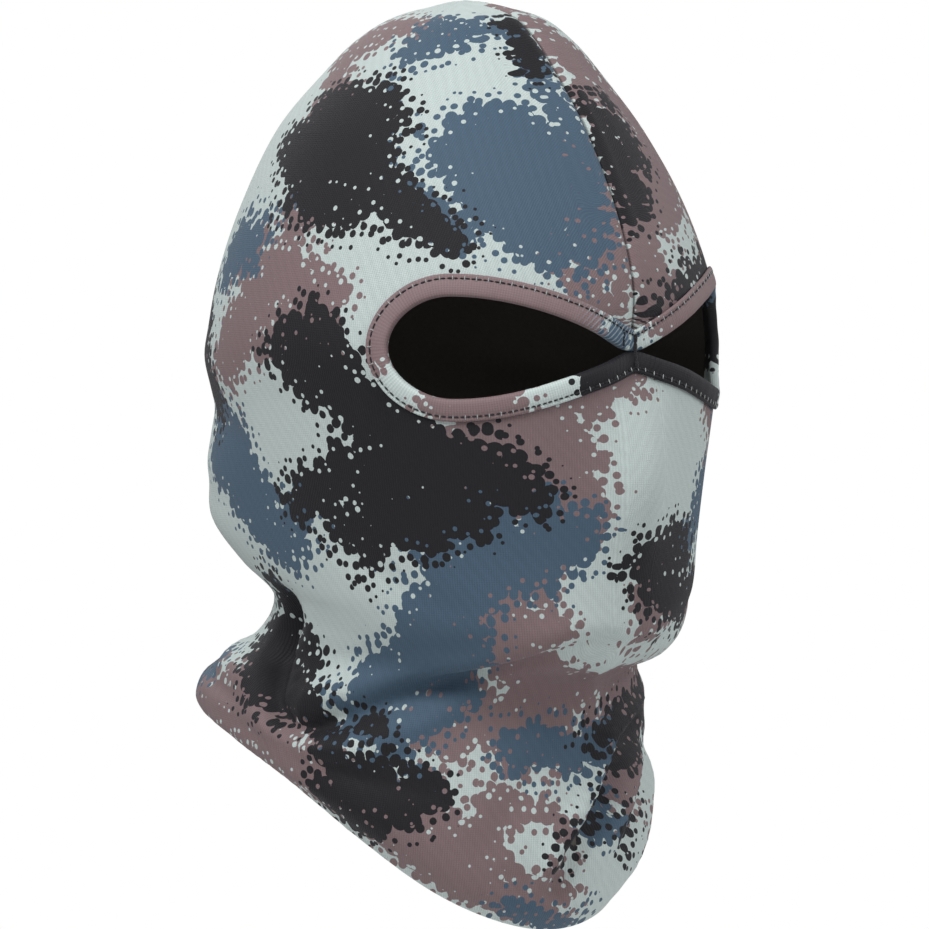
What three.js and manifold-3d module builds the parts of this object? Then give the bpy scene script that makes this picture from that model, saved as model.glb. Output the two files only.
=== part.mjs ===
// A pull-on knit balaclava: one panel, folded at the front and closed by a seam over the crown and down the
// back, with one bound eye opening that a tack pinches into two.
// Millimetres, +Z up, the face towards -Y, the wearer's right at -X.
// The origin is where the crown of a head bears on the inside of the hood.
import * as THREE from "three";
import { mergeVertices } from "three/addons/utils/BufferGeometryUtils.js";
import Module from "manifold-3d";

// Driving dimensions
const hoodWidth = 170; // over the temples
const hoodDepth = 197; // brow to the flare of the neck at the back, without the nose
const hoodDrop = 320; // crown to the lowest point of the front hem
const fabric = 1.2; // the knit's thickness
const layerGap = 0.5; // clearance between one layer of cloth and the next
const hemDepth = 18; // how far the hem is turned up inside

const eyeLine = 119; // drop from the crown to the line through both openings
const eyeReach = 90; // from the bridge round to the outer end of one opening
const eyePeak = 68.5; // from the bridge to where an opening is tallest
const eyeHeight = 34.5; // tallest height of one opening
const eyeLift = 2; // how far the openings' midline rises from the bridge outwards
const eyeLiftReach = 19; // most of that rise is over by here
const bridgeGap = 1.6; // height left open between the two runs of binding at the bridge
const bridgeEase = 6; // rounds the waist of the opening at the bridge

const bindingWidth = 7.5; // from the folded edge of the binding to its stitched edge
const bindingCloth = 0.9; // thickness of the binding strip
const stitchInset = 1.6; // topstitch to the binding's stitched edge
const threadSize = 0.7; // diameter of the sewing thread as it lies
const tackWidth = 1.3; // the tack at the bridge
const joinOffset = 5.5; // from the bridge to where the ends of the binding are joined
const seamWidth = 5; // the overlocked allowance of the crown seam
const seamThickness = 1.5;
const seamStart = 14; // from the bridge up to where the crown seam's allowance begins

// Facets
const aroundSteps = 54;
const faceCrowding = 0.4; // draws the columns of facets towards the face
const rowSteps = 34;
const eyeCrowding = 0.45; // draws the rows towards the eye line
const crownRow = 0.012; // the small flat cap at the crown starts here
const openingSteps = 54; // along one run of the binding

// The hood's stations from the crown to the hem, each a level or tilted ring:
// how far it reaches forward and the drop there, how far it reaches back and the drop there,
// its half width and the drop at its sides, and how far its back corners swell, as a share.
const stations = [
  [0, 0, 0, 0, 0, 0, 0],
  [26, 5, 24, 5, 22, 5, 0],
  [39, 13, 40, 13, 35, 13, 0],
  [51, 25, 54, 25, 46, 25, 0],
  [68, 45, 74, 45, 60, 45, 0],
  [84, 72, 89, 72, 72, 72, 0],
  [93, 97, 97, 97, 80.5, 97, 0],
  [96, 119, 99, 119, 85, 119, 0],
  [95, 140, 99, 140, 81, 140, 0.015],
  [93, 165, 100, 165, 77, 165, 0.04],
  [91, 188, 98, 180, 74, 185, 0.07],
  [91, 206, 86, 193, 70, 201, 0.05],
  [90, 217, 76, 203, 66, 210, 0.02], // chin and nape
  [80, 226, 74, 212, 63, 218, 0.02],
  [66, 232, 79, 222, 62, 226, 0.06],
  [60, 243, 96, 235, 68, 237, 0.11], // flare of the neck
  [60, 262, 101, 245, 73, 248, 0.1],
  [62, 288, 100, 252, 74, 257, 0.07],
  [60, 310, 96, 256, 72, 263, 0.05],
  [52, 320, 91, 258, 69, 267, 0.05], // hem
];
const largest = (column) => Math.max(...stations.map((row) => row[column]));
const wide = hoodWidth / 2 / largest(4);
const deep = hoodDepth / (largest(0) + largest(2));
const tall = hoodDrop / largest(1);
const noseReach = 9; // how far the cloth stands out over the nose
const noseDrop = 46; // from the eye line down to the nose's furthest point
const noseHeight = 24; // spread of that rise, up and down
const noseWidth = 15; // and to each side
const bridgeHollow = 5; // how far the cloth dips in between the eyes
const bridgeHollowHeight = 15; // spread of that dip, up and down
const bridgeHollowWidth = 15; // and to each side

const frontLine = new THREE.CatmullRomCurve3(
  stations.map((row) => new THREE.Vector3(0, -row[0] * deep, -row[1] * tall)), false, "catmullrom", 0.5);
const backLine = new THREE.CatmullRomCurve3(
  stations.map((row) => new THREE.Vector3(0, row[2] * deep, -row[3] * tall)), false, "catmullrom", 0.5);
const sideLine = new THREE.CatmullRomCurve3(
  stations.map((row) => new THREE.Vector3(row[4] * wide, row[6] * 100, -row[5] * tall)), false, "catmullrom", 0.5);

// One ring of the hood, from row 0 at the crown to row 1 at the hem.
function ring(row) {
  const front = frontLine.getPoint(row);
  const back = backLine.getPoint(row);
  const side = sideLine.getPoint(row);
  const meanDrop = (front.z + back.z) / 2;
  return {
    centre: (front.y + back.y) / 2,
    depth: (back.y - front.y) / 2,
    width: side.x,
    swell: side.y / 100,
    level: (meanDrop + side.z) / 2,
    tilt: (front.z - back.z) / 2,
    sag: (meanDrop - side.z) / 2,
  };
}

// A point of the outer face. The angle is 0 at the face and grows towards the wearer's left.
function outerPoint(angle, row) {
  const r = ring(row);
  const z = r.level + r.tilt * Math.cos(angle) + r.sag * Math.cos(2 * angle);
  const swell = Math.cos(angle) < 0 ? 1 + r.swell * Math.sin(2 * angle) ** 2 : 1;
  const x = swell * r.width * Math.sin(angle);
  const overNose = (z + eyeLine + noseDrop) / noseHeight;
  const overBridge = (z + eyeLine) / bridgeHollowHeight;
  const nose = noseReach * Math.exp(-(overNose ** 2) - (x / noseWidth) ** 2);
  const hollow = bridgeHollow * Math.exp(-(overBridge ** 2) - (x / bridgeHollowWidth) ** 2);
  const relief = Math.cos(angle) > 0 ? nose - hollow : 0;
  return new THREE.Vector3(x, r.centre - swell * r.depth * Math.cos(angle) - relief, z + fabric);
}

// The outward direction of the outer face.
function outward(angle, row) {
  const step = 1e-3;
  const across = outerPoint(angle + step, row).sub(outerPoint(angle - step, row));
  const down = outerPoint(angle, Math.min(row + step, 1)).sub(outerPoint(angle, Math.max(row - step, 0)));
  const normal = new THREE.Vector3().crossVectors(down, across);
  return normal.lengthSq() < 1e-12 ? new THREE.Vector3(0, 0, 1) : normal.normalize();
}

// A point that stands off the outer face by a distance, inwards where it is negative.
function offFace(angle, row, distance) {
  return outerPoint(angle, row).addScaledVector(outward(angle, row), distance);
}

// The row whose ring passes through a height at an angle.
function rowAt(angle, z) {
  let low = 0;
  let high = 1;
  for (let i = 0; i < 32; i++) {
    const middle = (low + high) / 2;
    if (outerPoint(angle, middle).z > z) low = middle;
    else high = middle;
  }
  return (low + high) / 2;
}

// The place on the hood nearest to a point that lies close to it, as an angle and a row.
function placeOf(point) {
  let angle = Math.atan2(point.x, -point.y);
  let row = rowAt(angle, point.z);
  for (let i = 0; i < 4; i++) {
    const r = ring(row);
    angle = Math.atan2(point.x / r.width, (r.centre - point.y) / r.depth);
    row = rowAt(angle, point.z);
  }
  return { angle, row };
}

// Closed surfaces from rings of points that each hold the same number of points.
function closedSurface(rings, loops) {
  const count = rings[0].length;
  const positions = rings.flat().flatMap((p) => [p.x, p.y, p.z]);
  const index = [];
  const last = loops ? rings.length : rings.length - 1;
  for (let i = 0; i < last; i++) {
    const next = (i + 1) % rings.length;
    for (let j = 0; j < count; j++) {
      const k = (j + 1) % count;
      index.push(i * count + j, next * count + j, next * count + k);
      index.push(i * count + j, next * count + k, i * count + k);
    }
  }
  if (!loops) {
    const end = (rings.length - 1) * count;
    for (let j = 1; j < count - 1; j++) {
      index.push(0, j, j + 1);
      index.push(end, end + j + 1, end + j);
    }
  }
  const geometry = new THREE.BufferGeometry();
  geometry.setAttribute("position", new THREE.Float32BufferAttribute(positions, 3));
  geometry.setIndex(index);
  return geometry;
}

const wasm = await Module();
wasm.setup();

function solidFrom(geometry) {
  const merged = mergeVertices(geometry, 1e-4);
  const solid = new wasm.Manifold(new wasm.Mesh({
    numProp: 3,
    vertProperties: merged.attributes.position.array,
    triVerts: new Uint32Array(merged.index.array),
  }));
  if (solid.volume() >= 0) return solid;
  const turned = new Uint32Array(merged.index.array);
  for (let i = 0; i < turned.length; i += 3) [turned[i + 1], turned[i + 2]] = [turned[i + 2], turned[i + 1]];
  return new wasm.Manifold(new wasm.Mesh({
    numProp: 3, vertProperties: merged.attributes.position.array, triVerts: turned,
  }));
}

function geometryFrom(solid) {
  const mesh = solid.getMesh();
  const geometry = new THREE.BufferGeometry();
  geometry.setAttribute("position", new THREE.BufferAttribute(mesh.vertProperties, 3));
  geometry.setIndex(new THREE.BufferAttribute(mesh.triVerts, 1));
  return geometry;
}

// The eye opening

// Arc length from the bridge round the eye line, as a table of angles.
const arcSteps = 400;
const arcTable = [0];
for (let i = 1; i <= arcSteps; i++) {
  const from = (Math.PI * (i - 1)) / arcSteps;
  const to = (Math.PI * i) / arcSteps;
  const r = ring(rowAt(from, -eyeLine + fabric));
  const x = r.width * (Math.sin(to) - Math.sin(from));
  const y = r.depth * (Math.cos(to) - Math.cos(from));
  arcTable.push(arcTable[i - 1] + Math.hypot(x, y));
}
function angleAt(arc) {
  const length = Math.abs(arc);
  let i = 1;
  while (i < arcSteps && arcTable[i] < length) i++;
  const part = (length - arcTable[i - 1]) / (arcTable[i] - arcTable[i - 1]);
  return Math.sign(arc) * Math.PI * (i - 1 + part) / arcSteps;
}

// Half the height of the opening at a distance from the bridge: a sine up to its peak, then a round end.
function halfOpening(arc) {
  const half = eyeHeight / 2;
  const waist = bridgeGap / 2;
  const length = Math.abs(arc);
  if (length > eyePeak) return half * Math.sqrt(Math.max(0, 1 - ((length - eyePeak) / (eyeReach - eyePeak)) ** 2));
  const eased = (value) => Math.sqrt(value ** 2 + bridgeEase ** 2) - bridgeEase;
  return waist + (half - waist) * Math.sin((Math.PI / 2) * (eased(length) / eased(eyePeak)));
}

// The opening's edge, once round: the upper run from the wearer's right to left, then the lower run back.
function openingEdge() {
  const places = [];
  for (let k = 0; k < 2 * openingSteps; k++) {
    const arc = -eyeReach * Math.cos((Math.PI * k) / openingSteps);
    const rise = Math.sign(openingSteps - k || 1) * halfOpening(arc);
    const middle = -eyeLine + eyeLift * (1 - Math.exp(-((arc / eyeLiftReach) ** 2)));
    const angle = angleAt(arc);
    const row = rowAt(angle, middle + rise + fabric);
    places.push({ point: outerPoint(angle, row), normal: outward(angle, row) });
  }
  return places;
}

// The same edge moved outwards over the cloth and then off the face of the cloth.
const edge = openingEdge();
function alongOpening(across, off) {
  return edge.map(({ point, normal }, k) => {
    const before = edge[(k + edge.length - 1) % edge.length].point;
    const after = edge[(k + 1) % edge.length].point;
    const along = after.clone().sub(before).normalize();
    const away = new THREE.Vector3().crossVectors(normal, along).normalize();
    const { angle, row } = placeOf(point.clone().addScaledVector(away, across));
    return offFace(angle, row, off);
  });
}

// A strip or thread that runs once round the opening, from its section's corners as [across, off] pairs.
function roundOpening(section) {
  const runs = section.map(([across, off]) => alongOpening(across, off));
  return closedSurface(edge.map((_, k) => runs.map((run) => run[k])), true);
}

// The solid that cuts the opening through the cloth.
function openingCutter() {
  const reach = 14;
  const raw = bindingCloth + layerGap;
  const outside = alongOpening(raw, reach);
  const inside = alongOpening(raw, -reach);
  const count = edge.length;
  const positions = [...outside, ...inside].flatMap((p) => [p.x, p.y, p.z]);
  const index = [];
  for (let k = 0; k < count; k++) {
    const next = (k + 1) % count;
    index.push(k, next, count + next, k, count + next, count + k);
  }
  for (let k = 0; k < openingSteps; k++) {
    const upper = [k, k + 1];
    const lower = [(count - k) % count, count - k - 1];
    const corners = [upper[0], upper[1], lower[1], lower[0]].filter((v, i, all) => all.indexOf(v) === i);
    for (let j = 1; j < corners.length - 1; j++) {
      index.push(corners[0], corners[j + 1], corners[j]);
      index.push(count + corners[0], count + corners[j], count + corners[j + 1]);
    }
  }
  const geometry = new THREE.BufferGeometry();
  geometry.setAttribute("position", new THREE.Float32BufferAttribute(positions, 3));
  geometry.setIndex(index);
  return solidFrom(geometry);
}

// The pieces

// How deep the inside of the wall lies: one layer, and two over the turned-up hem.
const hemRow = 1 - hemDepth / (hoodDrop * 0.42);
function wallDepth(row) {
  const turned = THREE.MathUtils.smoothstep(row, hemRow - 0.01, hemRow + 0.01);
  return fabric * (1 + turned);
}

const eyeRow = rowAt(0, -eyeLine + fabric);
const panelRows = [];
for (let i = 0; i <= rowSteps; i++) {
  const even = i / rowSteps;
  const turn = 2 * Math.PI;
  const pull = (eyeCrowding / turn) * (Math.sin(turn * (even - eyeRow)) + Math.sin(turn * eyeRow));
  panelRows.push(crownRow + (1 - crownRow) * (even - pull));
}
const panelAngles = [];
for (let j = 0; j < aroundSteps; j++) {
  const even = (2 * Math.PI * j) / aroundSteps;
  panelAngles.push(even - faceCrowding * Math.sin(even));
}

function hoodPanel() {
  const wall = (depthOf) => panelRows.map((row) => panelAngles.map((angle) => offFace(angle, row, -depthOf(row))));
  const inner = wall(wallDepth);
  const outer = wall(() => 0);
  const hood = solidFrom(closedSurface([...inner, ...outer.reverse()], false));
  return geometryFrom(hood.subtract(openingCutter()));
}

function eyeBinding() {
  const outside = layerGap + bindingCloth;
  const inside = -fabric - layerGap;
  return roundOpening([
    [bindingWidth, layerGap],
    [bindingWidth, outside],
    [0, outside],
    [0, inside - bindingCloth],
    [bindingWidth, inside - bindingCloth],
    [bindingWidth, inside],
    [bindingCloth, inside],
    [bindingCloth, layerGap],
  ]);
}

const onBinding = 2 * layerGap + bindingCloth;
function bindingTopstitch() {
  const middle = bindingWidth - stitchInset;
  const half = threadSize / 2;
  return roundOpening([
    [middle + half, onBinding],
    [middle + half, onBinding + threadSize],
    [middle - half, onBinding + threadSize],
    [middle - half, onBinding],
  ]);
}

// A short bar of stitches up the face, between two heights above the eye line.
function stitchBar(offset, low, high, width, thickness) {
  const rings = [];
  const steps = 8;
  for (let i = 0; i <= steps; i++) {
    const z = -eyeLine + low + ((high - low) * i) / steps + fabric;
    const corner = (side, off) => {
      const angle = angleAt(offset + (side * width) / 2);
      return offFace(angle, rowAt(angle, z), off);
    };
    rings.push([
      corner(-1, onBinding), corner(1, onBinding), corner(1, onBinding + thickness), corner(-1, onBinding + thickness),
    ]);
  }
  return closedSurface(rings, false);
}

const ontoBinding = bindingWidth - stitchInset - threadSize; // how far the bars reach over the binding
function bridgeTack() {
  const half = bridgeGap / 2 + ontoBinding;
  return stitchBar(0, -half, half, tackWidth, threadSize);
}

function bindingJoinStitch() {
  const low = halfOpening(joinOffset);
  return stitchBar(-joinOffset, low, low + ontoBinding - layerGap, threadSize, threadSize);
}

// The overlocked allowance inside the crown seam, from above the bridge over the crown to the hem.
function crownSeamOverlock() {
  const forward = rowAt(0, -eyeLine + seamStart + fabric);
  const overFace = panelRows.filter((row) => row < forward);
  const downBack = panelRows.filter((row) => row < hemRow - 0.02);
  const places = [
    { angle: 0, row: forward },
    ...overFace.reverse().map((row) => ({ angle: 0, row })),
    ...downBack.map((row) => ({ angle: Math.PI, row })),
  ];
  const rings = places.map(({ angle, row }) => {
    const near = offFace(angle, row, -fabric - layerGap);
    const far = offFace(angle, row, -fabric - layerGap - seamThickness);
    const shift = (p, side) => p.clone().setX((side * seamWidth) / 2);
    return [shift(near, -1), shift(near, 1), shift(far, 1), shift(far, -1)];
  });
  return closedSurface(rings, false);
}

// The line of stitches that holds the turned-up hem, on its inner face.
function hemStitch() {
  const inside = -2 * fabric - layerGap;
  const half = threadSize / 2 / hoodDrop;
  const middle = hemRow + 0.025;
  const rings = panelAngles.map((angle) => [
    offFace(angle, middle - half, inside),
    offFace(angle, middle - half, inside - threadSize),
    offFace(angle, middle + half, inside - threadSize),
    offFace(angle, middle + half, inside),
  ]);
  return closedSurface(rings, true);
}

const knit = new THREE.MeshStandardMaterial({ color: 0x47596b, roughness: 0.8, metalness: 0 });
const bindingKnit = new THREE.MeshStandardMaterial({ color: 0x756365, roughness: 0.8, metalness: 0 });
const thread = new THREE.MeshStandardMaterial({ color: 0x15151a, roughness: 0.7, metalness: 0 });

const balaclava = new THREE.Group();
function add(name, geometry, material) {
  const mesh = new THREE.Mesh(geometryFrom(solidFrom(geometry)), material);
  mesh.name = name;
  balaclava.add(mesh);
}
add("hood_panel", hoodPanel(), knit);
add("eye_binding", eyeBinding(), bindingKnit);
add("binding_topstitch", bindingTopstitch(), thread);
add("binding_join_stitch", bindingJoinStitch(), thread);
add("bridge_tack", bridgeTack(), thread);
add("crown_seam_overlock", crownSeamOverlock(), thread);
add("hem_stitch", hemStitch(), thread);

export default balaclava;
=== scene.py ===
# A pull-on knit balaclava with a stippled camouflage print. Metres, +Z up, the face towards -Y.
# Shapes are worked out in millimetres and scaled once, when a mesh is made.
import math

import bpy
import numpy as np
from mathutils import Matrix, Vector


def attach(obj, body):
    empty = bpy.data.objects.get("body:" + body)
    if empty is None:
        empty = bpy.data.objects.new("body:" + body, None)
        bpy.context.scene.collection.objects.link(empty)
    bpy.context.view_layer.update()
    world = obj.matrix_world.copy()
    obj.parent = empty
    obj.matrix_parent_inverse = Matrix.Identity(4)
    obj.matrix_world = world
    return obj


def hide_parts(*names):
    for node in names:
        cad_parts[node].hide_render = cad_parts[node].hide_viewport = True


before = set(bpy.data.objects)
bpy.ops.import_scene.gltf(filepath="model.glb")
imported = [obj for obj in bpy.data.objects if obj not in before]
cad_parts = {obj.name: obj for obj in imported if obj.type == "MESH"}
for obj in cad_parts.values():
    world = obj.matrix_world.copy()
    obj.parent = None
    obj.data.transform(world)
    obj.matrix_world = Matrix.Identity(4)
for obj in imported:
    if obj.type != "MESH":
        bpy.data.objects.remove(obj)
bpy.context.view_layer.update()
print("frame loaded:", ", ".join(sorted(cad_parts)))

toMetres = 0.001


# Node trees

class Wire:  # a socket that can stand in a sum
    def __init__(self, sketch, socket):
        self.sketch = sketch
        self.socket = socket

    def __add__(self, other):
        return self.sketch.maths("ADD", self, other)

    def __radd__(self, other):
        return self.sketch.maths("ADD", other, self)

    def __sub__(self, other):
        return self.sketch.maths("SUBTRACT", self, other)

    def __rsub__(self, other):
        return self.sketch.maths("SUBTRACT", other, self)

    def __mul__(self, other):
        return self.sketch.maths("MULTIPLY", self, other)

    def __rmul__(self, other):
        return self.sketch.maths("MULTIPLY", other, self)

    def beside(self, name):
        # another output of the same node
        return Wire(self.sketch, self.socket.node.outputs[name])


class Sketch:  # a node tree being drawn
    def __init__(self, tree):
        self.tree = tree

    def node(self, kind, settings=None, values=None, output=0):
        made = self.tree.nodes.new(kind)
        for name, value in (settings or {}).items():
            setattr(made, name, value)
        for key, value in (values or {}).items():
            if isinstance(value, Wire):
                self.tree.links.new(value.socket, made.inputs[key])
            else:
                made.inputs[key].default_value = value
        return Wire(self, made.outputs[output])

    def maths(self, operation, *values, clamp=False):
        settings = {"operation": operation, "use_clamp": clamp}
        return self.node("ShaderNodeMath", settings, dict(enumerate(values)))

    def between(self, value, low, high, toLow=0.0, toHigh=1.0, kind="SMOOTHSTEP"):
        values = {"Value": value, "From Min": low, "From Max": high, "To Min": toLow, "To Max": toHigh}
        return self.node("ShaderNodeMapRange", {"interpolation_type": kind}, values)

    def mixColour(self, share, first, second):
        # inputs 6 and 7 are the mix node's two colours, output 2 its colour
        return self.node("ShaderNodeMix", {"data_type": "RGBA"}, {0: share, 6: first, 7: second}, 2)

    def vector(self, operation, *values):
        return self.node("ShaderNodeVectorMath", {"operation": operation}, dict(enumerate(values)))

    def field(self, name):
        return self.node("ShaderNodeAttribute", {"attribute_name": name}, None, "Fac")

    def wave(self, value, length):
        return self.maths("SINE", value * (2 * math.pi / length))

    def noise(self, place, scale, detail, roughness=0.5, dimensions="3D"):
        values = {"Vector": place, "Scale": scale, "Detail": detail, "Roughness": roughness}
        return self.node("ShaderNodeTexNoise", {"noise_dimensions": dimensions}, values, "Fac")


def newMaterial(name, finish):
    # finish holds the shader's uniform values
    material = bpy.data.materials.new(name)
    material.use_nodes = True
    sketch = Sketch(material.node_tree)
    shader = material.node_tree.nodes["Principled BSDF"]
    for key, value in finish.items():
        shader.inputs[key].default_value = value
    return material, sketch, shader


def plug(sketch, wire, shader, socket):
    sketch.tree.links.new(wire.socket, shader.inputs[socket])


def plugBump(sketch, height, shader, strength, distance):
    values = {"Height": height, "Strength": strength, "Distance": distance}
    plug(sketch, sketch.node("ShaderNodeBump", None, values, "Normal"), shader, "Normal")


# Camera, light and floor

studio = {
    "azimuth": -38.0,
    "elevation": 4.0,
    "distance": 2.0,
    "lens": 221.4,
    "sensor": 36.0,
    "farthest": 50.0,
    "aim": -0.1178,  # height of the bridge of the eye opening
    "aimDown": 0.0432,  # the camera looks this far below it
    "aimAside": -0.0005,
    "lightAim": -0.15,
    "floor": -0.46,
    "floorHalf": 6.0,
    "floorSolid": 0.35,  # the floor fades into the backdrop between these distances
    "floorGone": 0.85,
    "pale": (0.93, 0.93, 0.93, 1),
    "backdrop": 1.0,
    "skyLight": 0.30,
}
softboxes = {  # azimuth, elevation, distance, size and power
    "key_softbox": (-74, 46, 1.5, 0.7, 13.0),
    "side_softbox": (6, 32, 1.8, 0.9, 7.0),
    "far_softbox": (75, 20, 1.8, 1.0, 6.5),
    "back_softbox": (165, 30, 1.8, 1.2, 7.0),
}


def direction(azimuth, elevation):
    turn = math.radians(azimuth)
    rise = math.radians(elevation)
    return Vector((math.sin(turn) * math.cos(rise), -math.cos(turn) * math.cos(rise), math.sin(rise)))


def makeCamera():
    back = direction(studio["azimuth"], studio["elevation"])
    right = Vector((0, 0, 1)).cross(back).normalized()
    up = back.cross(right)
    target = Vector((0, 0, studio["aim"])) - up * studio["aimDown"] + right * studio["aimAside"]
    data = bpy.data.cameras.new("studio_camera")
    data.lens = studio["lens"]
    data.sensor_width = studio["sensor"]
    data.clip_end = studio["farthest"]
    camera = bpy.data.objects.new("studio_camera", data)
    bpy.context.collection.objects.link(camera)
    camera.location = target + back * studio["distance"]
    camera.rotation_mode = "QUATERNION"
    camera.rotation_quaternion = (-back).to_track_quat("-Z", "Y")
    bpy.context.scene.camera = camera


def makeLight(name, azimuth, elevation, distance, size, power):
    data = bpy.data.lights.new(name, "AREA")
    data.energy = power
    data.size = size
    lamp = bpy.data.objects.new(name, data)
    bpy.context.collection.objects.link(lamp)
    towards = direction(azimuth, elevation)
    lamp.location = Vector((0, 0, studio["lightAim"])) + towards * distance
    lamp.rotation_mode = "QUATERNION"
    lamp.rotation_quaternion = towards.to_track_quat("Z", "Y")


def makeFloor():
    half = studio["floorHalf"]
    points = [(-half, -half), (half, -half), (half, half), (-half, half)]
    mesh = bpy.data.meshes.new("studio_floor")
    mesh.from_pydata([(x, y, studio["floor"]) for x, y in points], [], [(0, 1, 2, 3)])
    floor = bpy.data.objects.new("studio_floor", mesh)
    bpy.context.collection.objects.link(floor)
    material, sketch, shader = newMaterial("floor_paint", {"Roughness": 0.9, "Base Color": studio["pale"]})
    place = sketch.node("ShaderNodeTexCoord", None, None, "Object")
    far = sketch.node("ShaderNodeVectorMath", {"operation": "LENGTH"}, {0: place}, "Value")
    plug(sketch, sketch.between(far, studio["floorGone"], studio["floorSolid"]), shader, "Alpha")
    mesh.materials.append(material)


makeCamera()
makeFloor()
for name, placing in softboxes.items():
    makeLight(name, *placing)


def makeSky():
    # a white backdrop, and a softer even light than it would give
    world = bpy.data.worlds.new("studio_sky")
    world.use_nodes = True
    sketch = Sketch(world.node_tree)
    seen = sketch.node("ShaderNodeLightPath", None, None, "Is Camera Ray")
    strength = studio["skyLight"] + seen * (studio["backdrop"] - studio["skyLight"])
    background = world.node_tree.nodes["Background"]
    background.inputs["Color"].default_value = (1, 1, 1, 1)
    world.node_tree.links.new(strength.socket, background.inputs["Strength"])
    bpy.context.scene.world = world


makeSky()
bpy.context.scene.view_settings.view_transform = "Standard"
print("studio made")


# The hood's shape. A place on it is an angle, 0 at the face and growing to the wearer's left, and a row,
# 0 at the crown and 1 at the hem.

hood = {
    "width": 170.0,
    "depth": 197.0,
    "drop": 320.0,
    "cadFabric": 1.2,  # how far the outer face stands above the crown's inside
    "cloth": 0.95,  # thickness of the knit
    "hemDepth": 18.0,
    "hemRoll": 1.15,  # radius of the rolled hem edge
    "hemSteps": 5,  # rings round that edge
    "hemRings": 9,  # rings up the turned hem
    "hemRun": (0.3, 20.0),  # how far the print runs on over it
    "hemRate": 0.42,  # near the hem, the share of the drop that one unit of row stands for
    "columns": 244,
    "rows": 168,
    "apexRow": 0.006,  # the first row of the grid, just off the crown
    "seamColumns": [0.0, 0.35, 0.8, 1.4, 2.2, 3.3],  # columns are crowded beside the crown seam
    "seamDepth": 1.3,
    "seamSpread": 0.85,
    "seamEnd": 118.0,  # the drop of the seam's front end, at the bridge
    "allowanceFrom": 14.0,  # from the bridge up to where the seam's allowance begins
    "allowanceGap": 0.55,  # from the cloth to the allowance inside it
    "slack": 0.35,  # uneven height of the loose cloth of the neck
}
# Rings from the crown to the hem: reach and drop at the face, at the back and at the sides (the sides'
# reach is half the width), and how far the back's corners swell, in hundredths.
stations = np.array([
    [0, 0, 0, 0, 0, 0, 0],
    [26, 5, 24, 5, 22, 5, 0],
    [39, 13, 40, 13, 35, 13, 0],
    [51, 25, 54, 25, 46, 25, 0],
    [68, 45, 74, 45, 60, 45, 0],
    [84, 72, 89, 72, 72, 72, 0],
    [93, 97, 97, 97, 80.5, 97, 0],
    [96, 119, 99, 119, 85, 119, 0],
    [95, 140, 99, 140, 81, 140, 1.5],
    [93, 165, 100, 165, 77, 165, 4],
    [91, 188, 98, 180, 74, 185, 7],
    [91, 206, 86, 193, 70, 201, 5],
    [90, 217, 76, 203, 66, 210, 2],
    [80, 226, 74, 212, 63, 218, 2],
    [66, 232, 79, 222, 62, 226, 6],
    [60, 243, 96, 235, 68, 237, 11],
    [60, 262, 101, 245, 73, 248, 10],
    [62, 288, 100, 252, 74, 257, 7],
    [60, 310, 96, 256, 72, 263, 5],
    [52, 320, 91, 258, 69, 267, 5],
])
nose = {"reach": 9.0, "drop": 165.0, "height": 24.0, "width": 15.0}
bridge = {"hollow": 5.0, "height": 15.0, "width": 15.0}  # the dip between the eyes
opening = {
    "line": 119.0,
    "reach": 90.0,
    "peak": 68.5,
    "height": 34.5,
    "lift": 2.0,  # how far the midline rises from the bridge outwards
    "liftSpread": 19.0,
    "bridgeGap": 1.6,
    "bridgeEase": 6.0,
    "rawEdge": 1.4,  # the hood's cut edge, outwards from the binding's fold
}
stations[:, [0, 2]] *= hood["depth"] / (stations[:, 0].max() + stations[:, 2].max())
stations[:, 4] *= hood["width"] / 2 / stations[:, 4].max()
stations[:, [1, 3, 5]] *= hood["drop"] / stations[:, 1].max()


def throughPoints(points, share):
    # a smooth curve through evenly counted points, at shares from 0 to 1
    count = len(points) - 1
    place = np.clip(share, 0, 1) * count
    start = np.minimum(np.floor(place).astype(int), count - 1)
    part = (place - start)[..., None]
    padded = np.concatenate([[2 * points[0] - points[1]], points, [2 * points[-1] - points[-2]]])
    before, low, high, after = (padded[start + k] for k in range(4))
    turn = -before + 3 * low - 3 * high + after
    bend = 2 * before - 5 * low + 4 * high - after
    return 0.5 * (2 * low + (high - before) * part + bend * part ** 2 + turn * part ** 3)


def onHood(angle, row):
    angle, row = np.broadcast_arrays(np.asarray(angle, float), np.asarray(row, float))
    ring = throughPoints(stations, row)
    forward, frontDrop, behind, backDrop, width, sideDrop, swell = np.moveaxis(ring, -1, 0)
    mean = -(frontDrop + backDrop) / 2
    height = (mean - sideDrop) / 2 + (backDrop - frontDrop) / 2 * np.cos(angle)
    height = height + (mean + sideDrop) / 2 * np.cos(2 * angle)
    swell = np.where(np.cos(angle) < 0, 1 + swell / 100 * np.sin(2 * angle) ** 2, 1)
    x = swell * width * np.sin(angle)
    overNose = (height + nose["drop"]) / nose["height"]
    overBridge = (height + opening["line"]) / bridge["height"]
    rise = nose["reach"] * np.exp(-(overNose ** 2) - (x / nose["width"]) ** 2)
    rise = rise - bridge["hollow"] * np.exp(-(overBridge ** 2) - (x / bridge["width"]) ** 2)
    y = (behind - forward) / 2 - swell * (behind + forward) / 2 * np.cos(angle) - rise * (np.cos(angle) > 0)
    return np.stack([x, y, height + hood["cadFabric"]], -1)


def lengthAlong(points, closed=False):
    # the distance along a line from its first point to each of its points
    after = np.roll(points, -1, axis=0) if closed else points[1:]
    steps = np.linalg.norm(after - points[:len(after)], axis=1)
    return np.concatenate([[0], np.cumsum(steps)])


def atLengths(even, length, points):
    return np.stack([np.interp(even, length, points[:, axis]) for axis in range(3)], -1)


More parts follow.
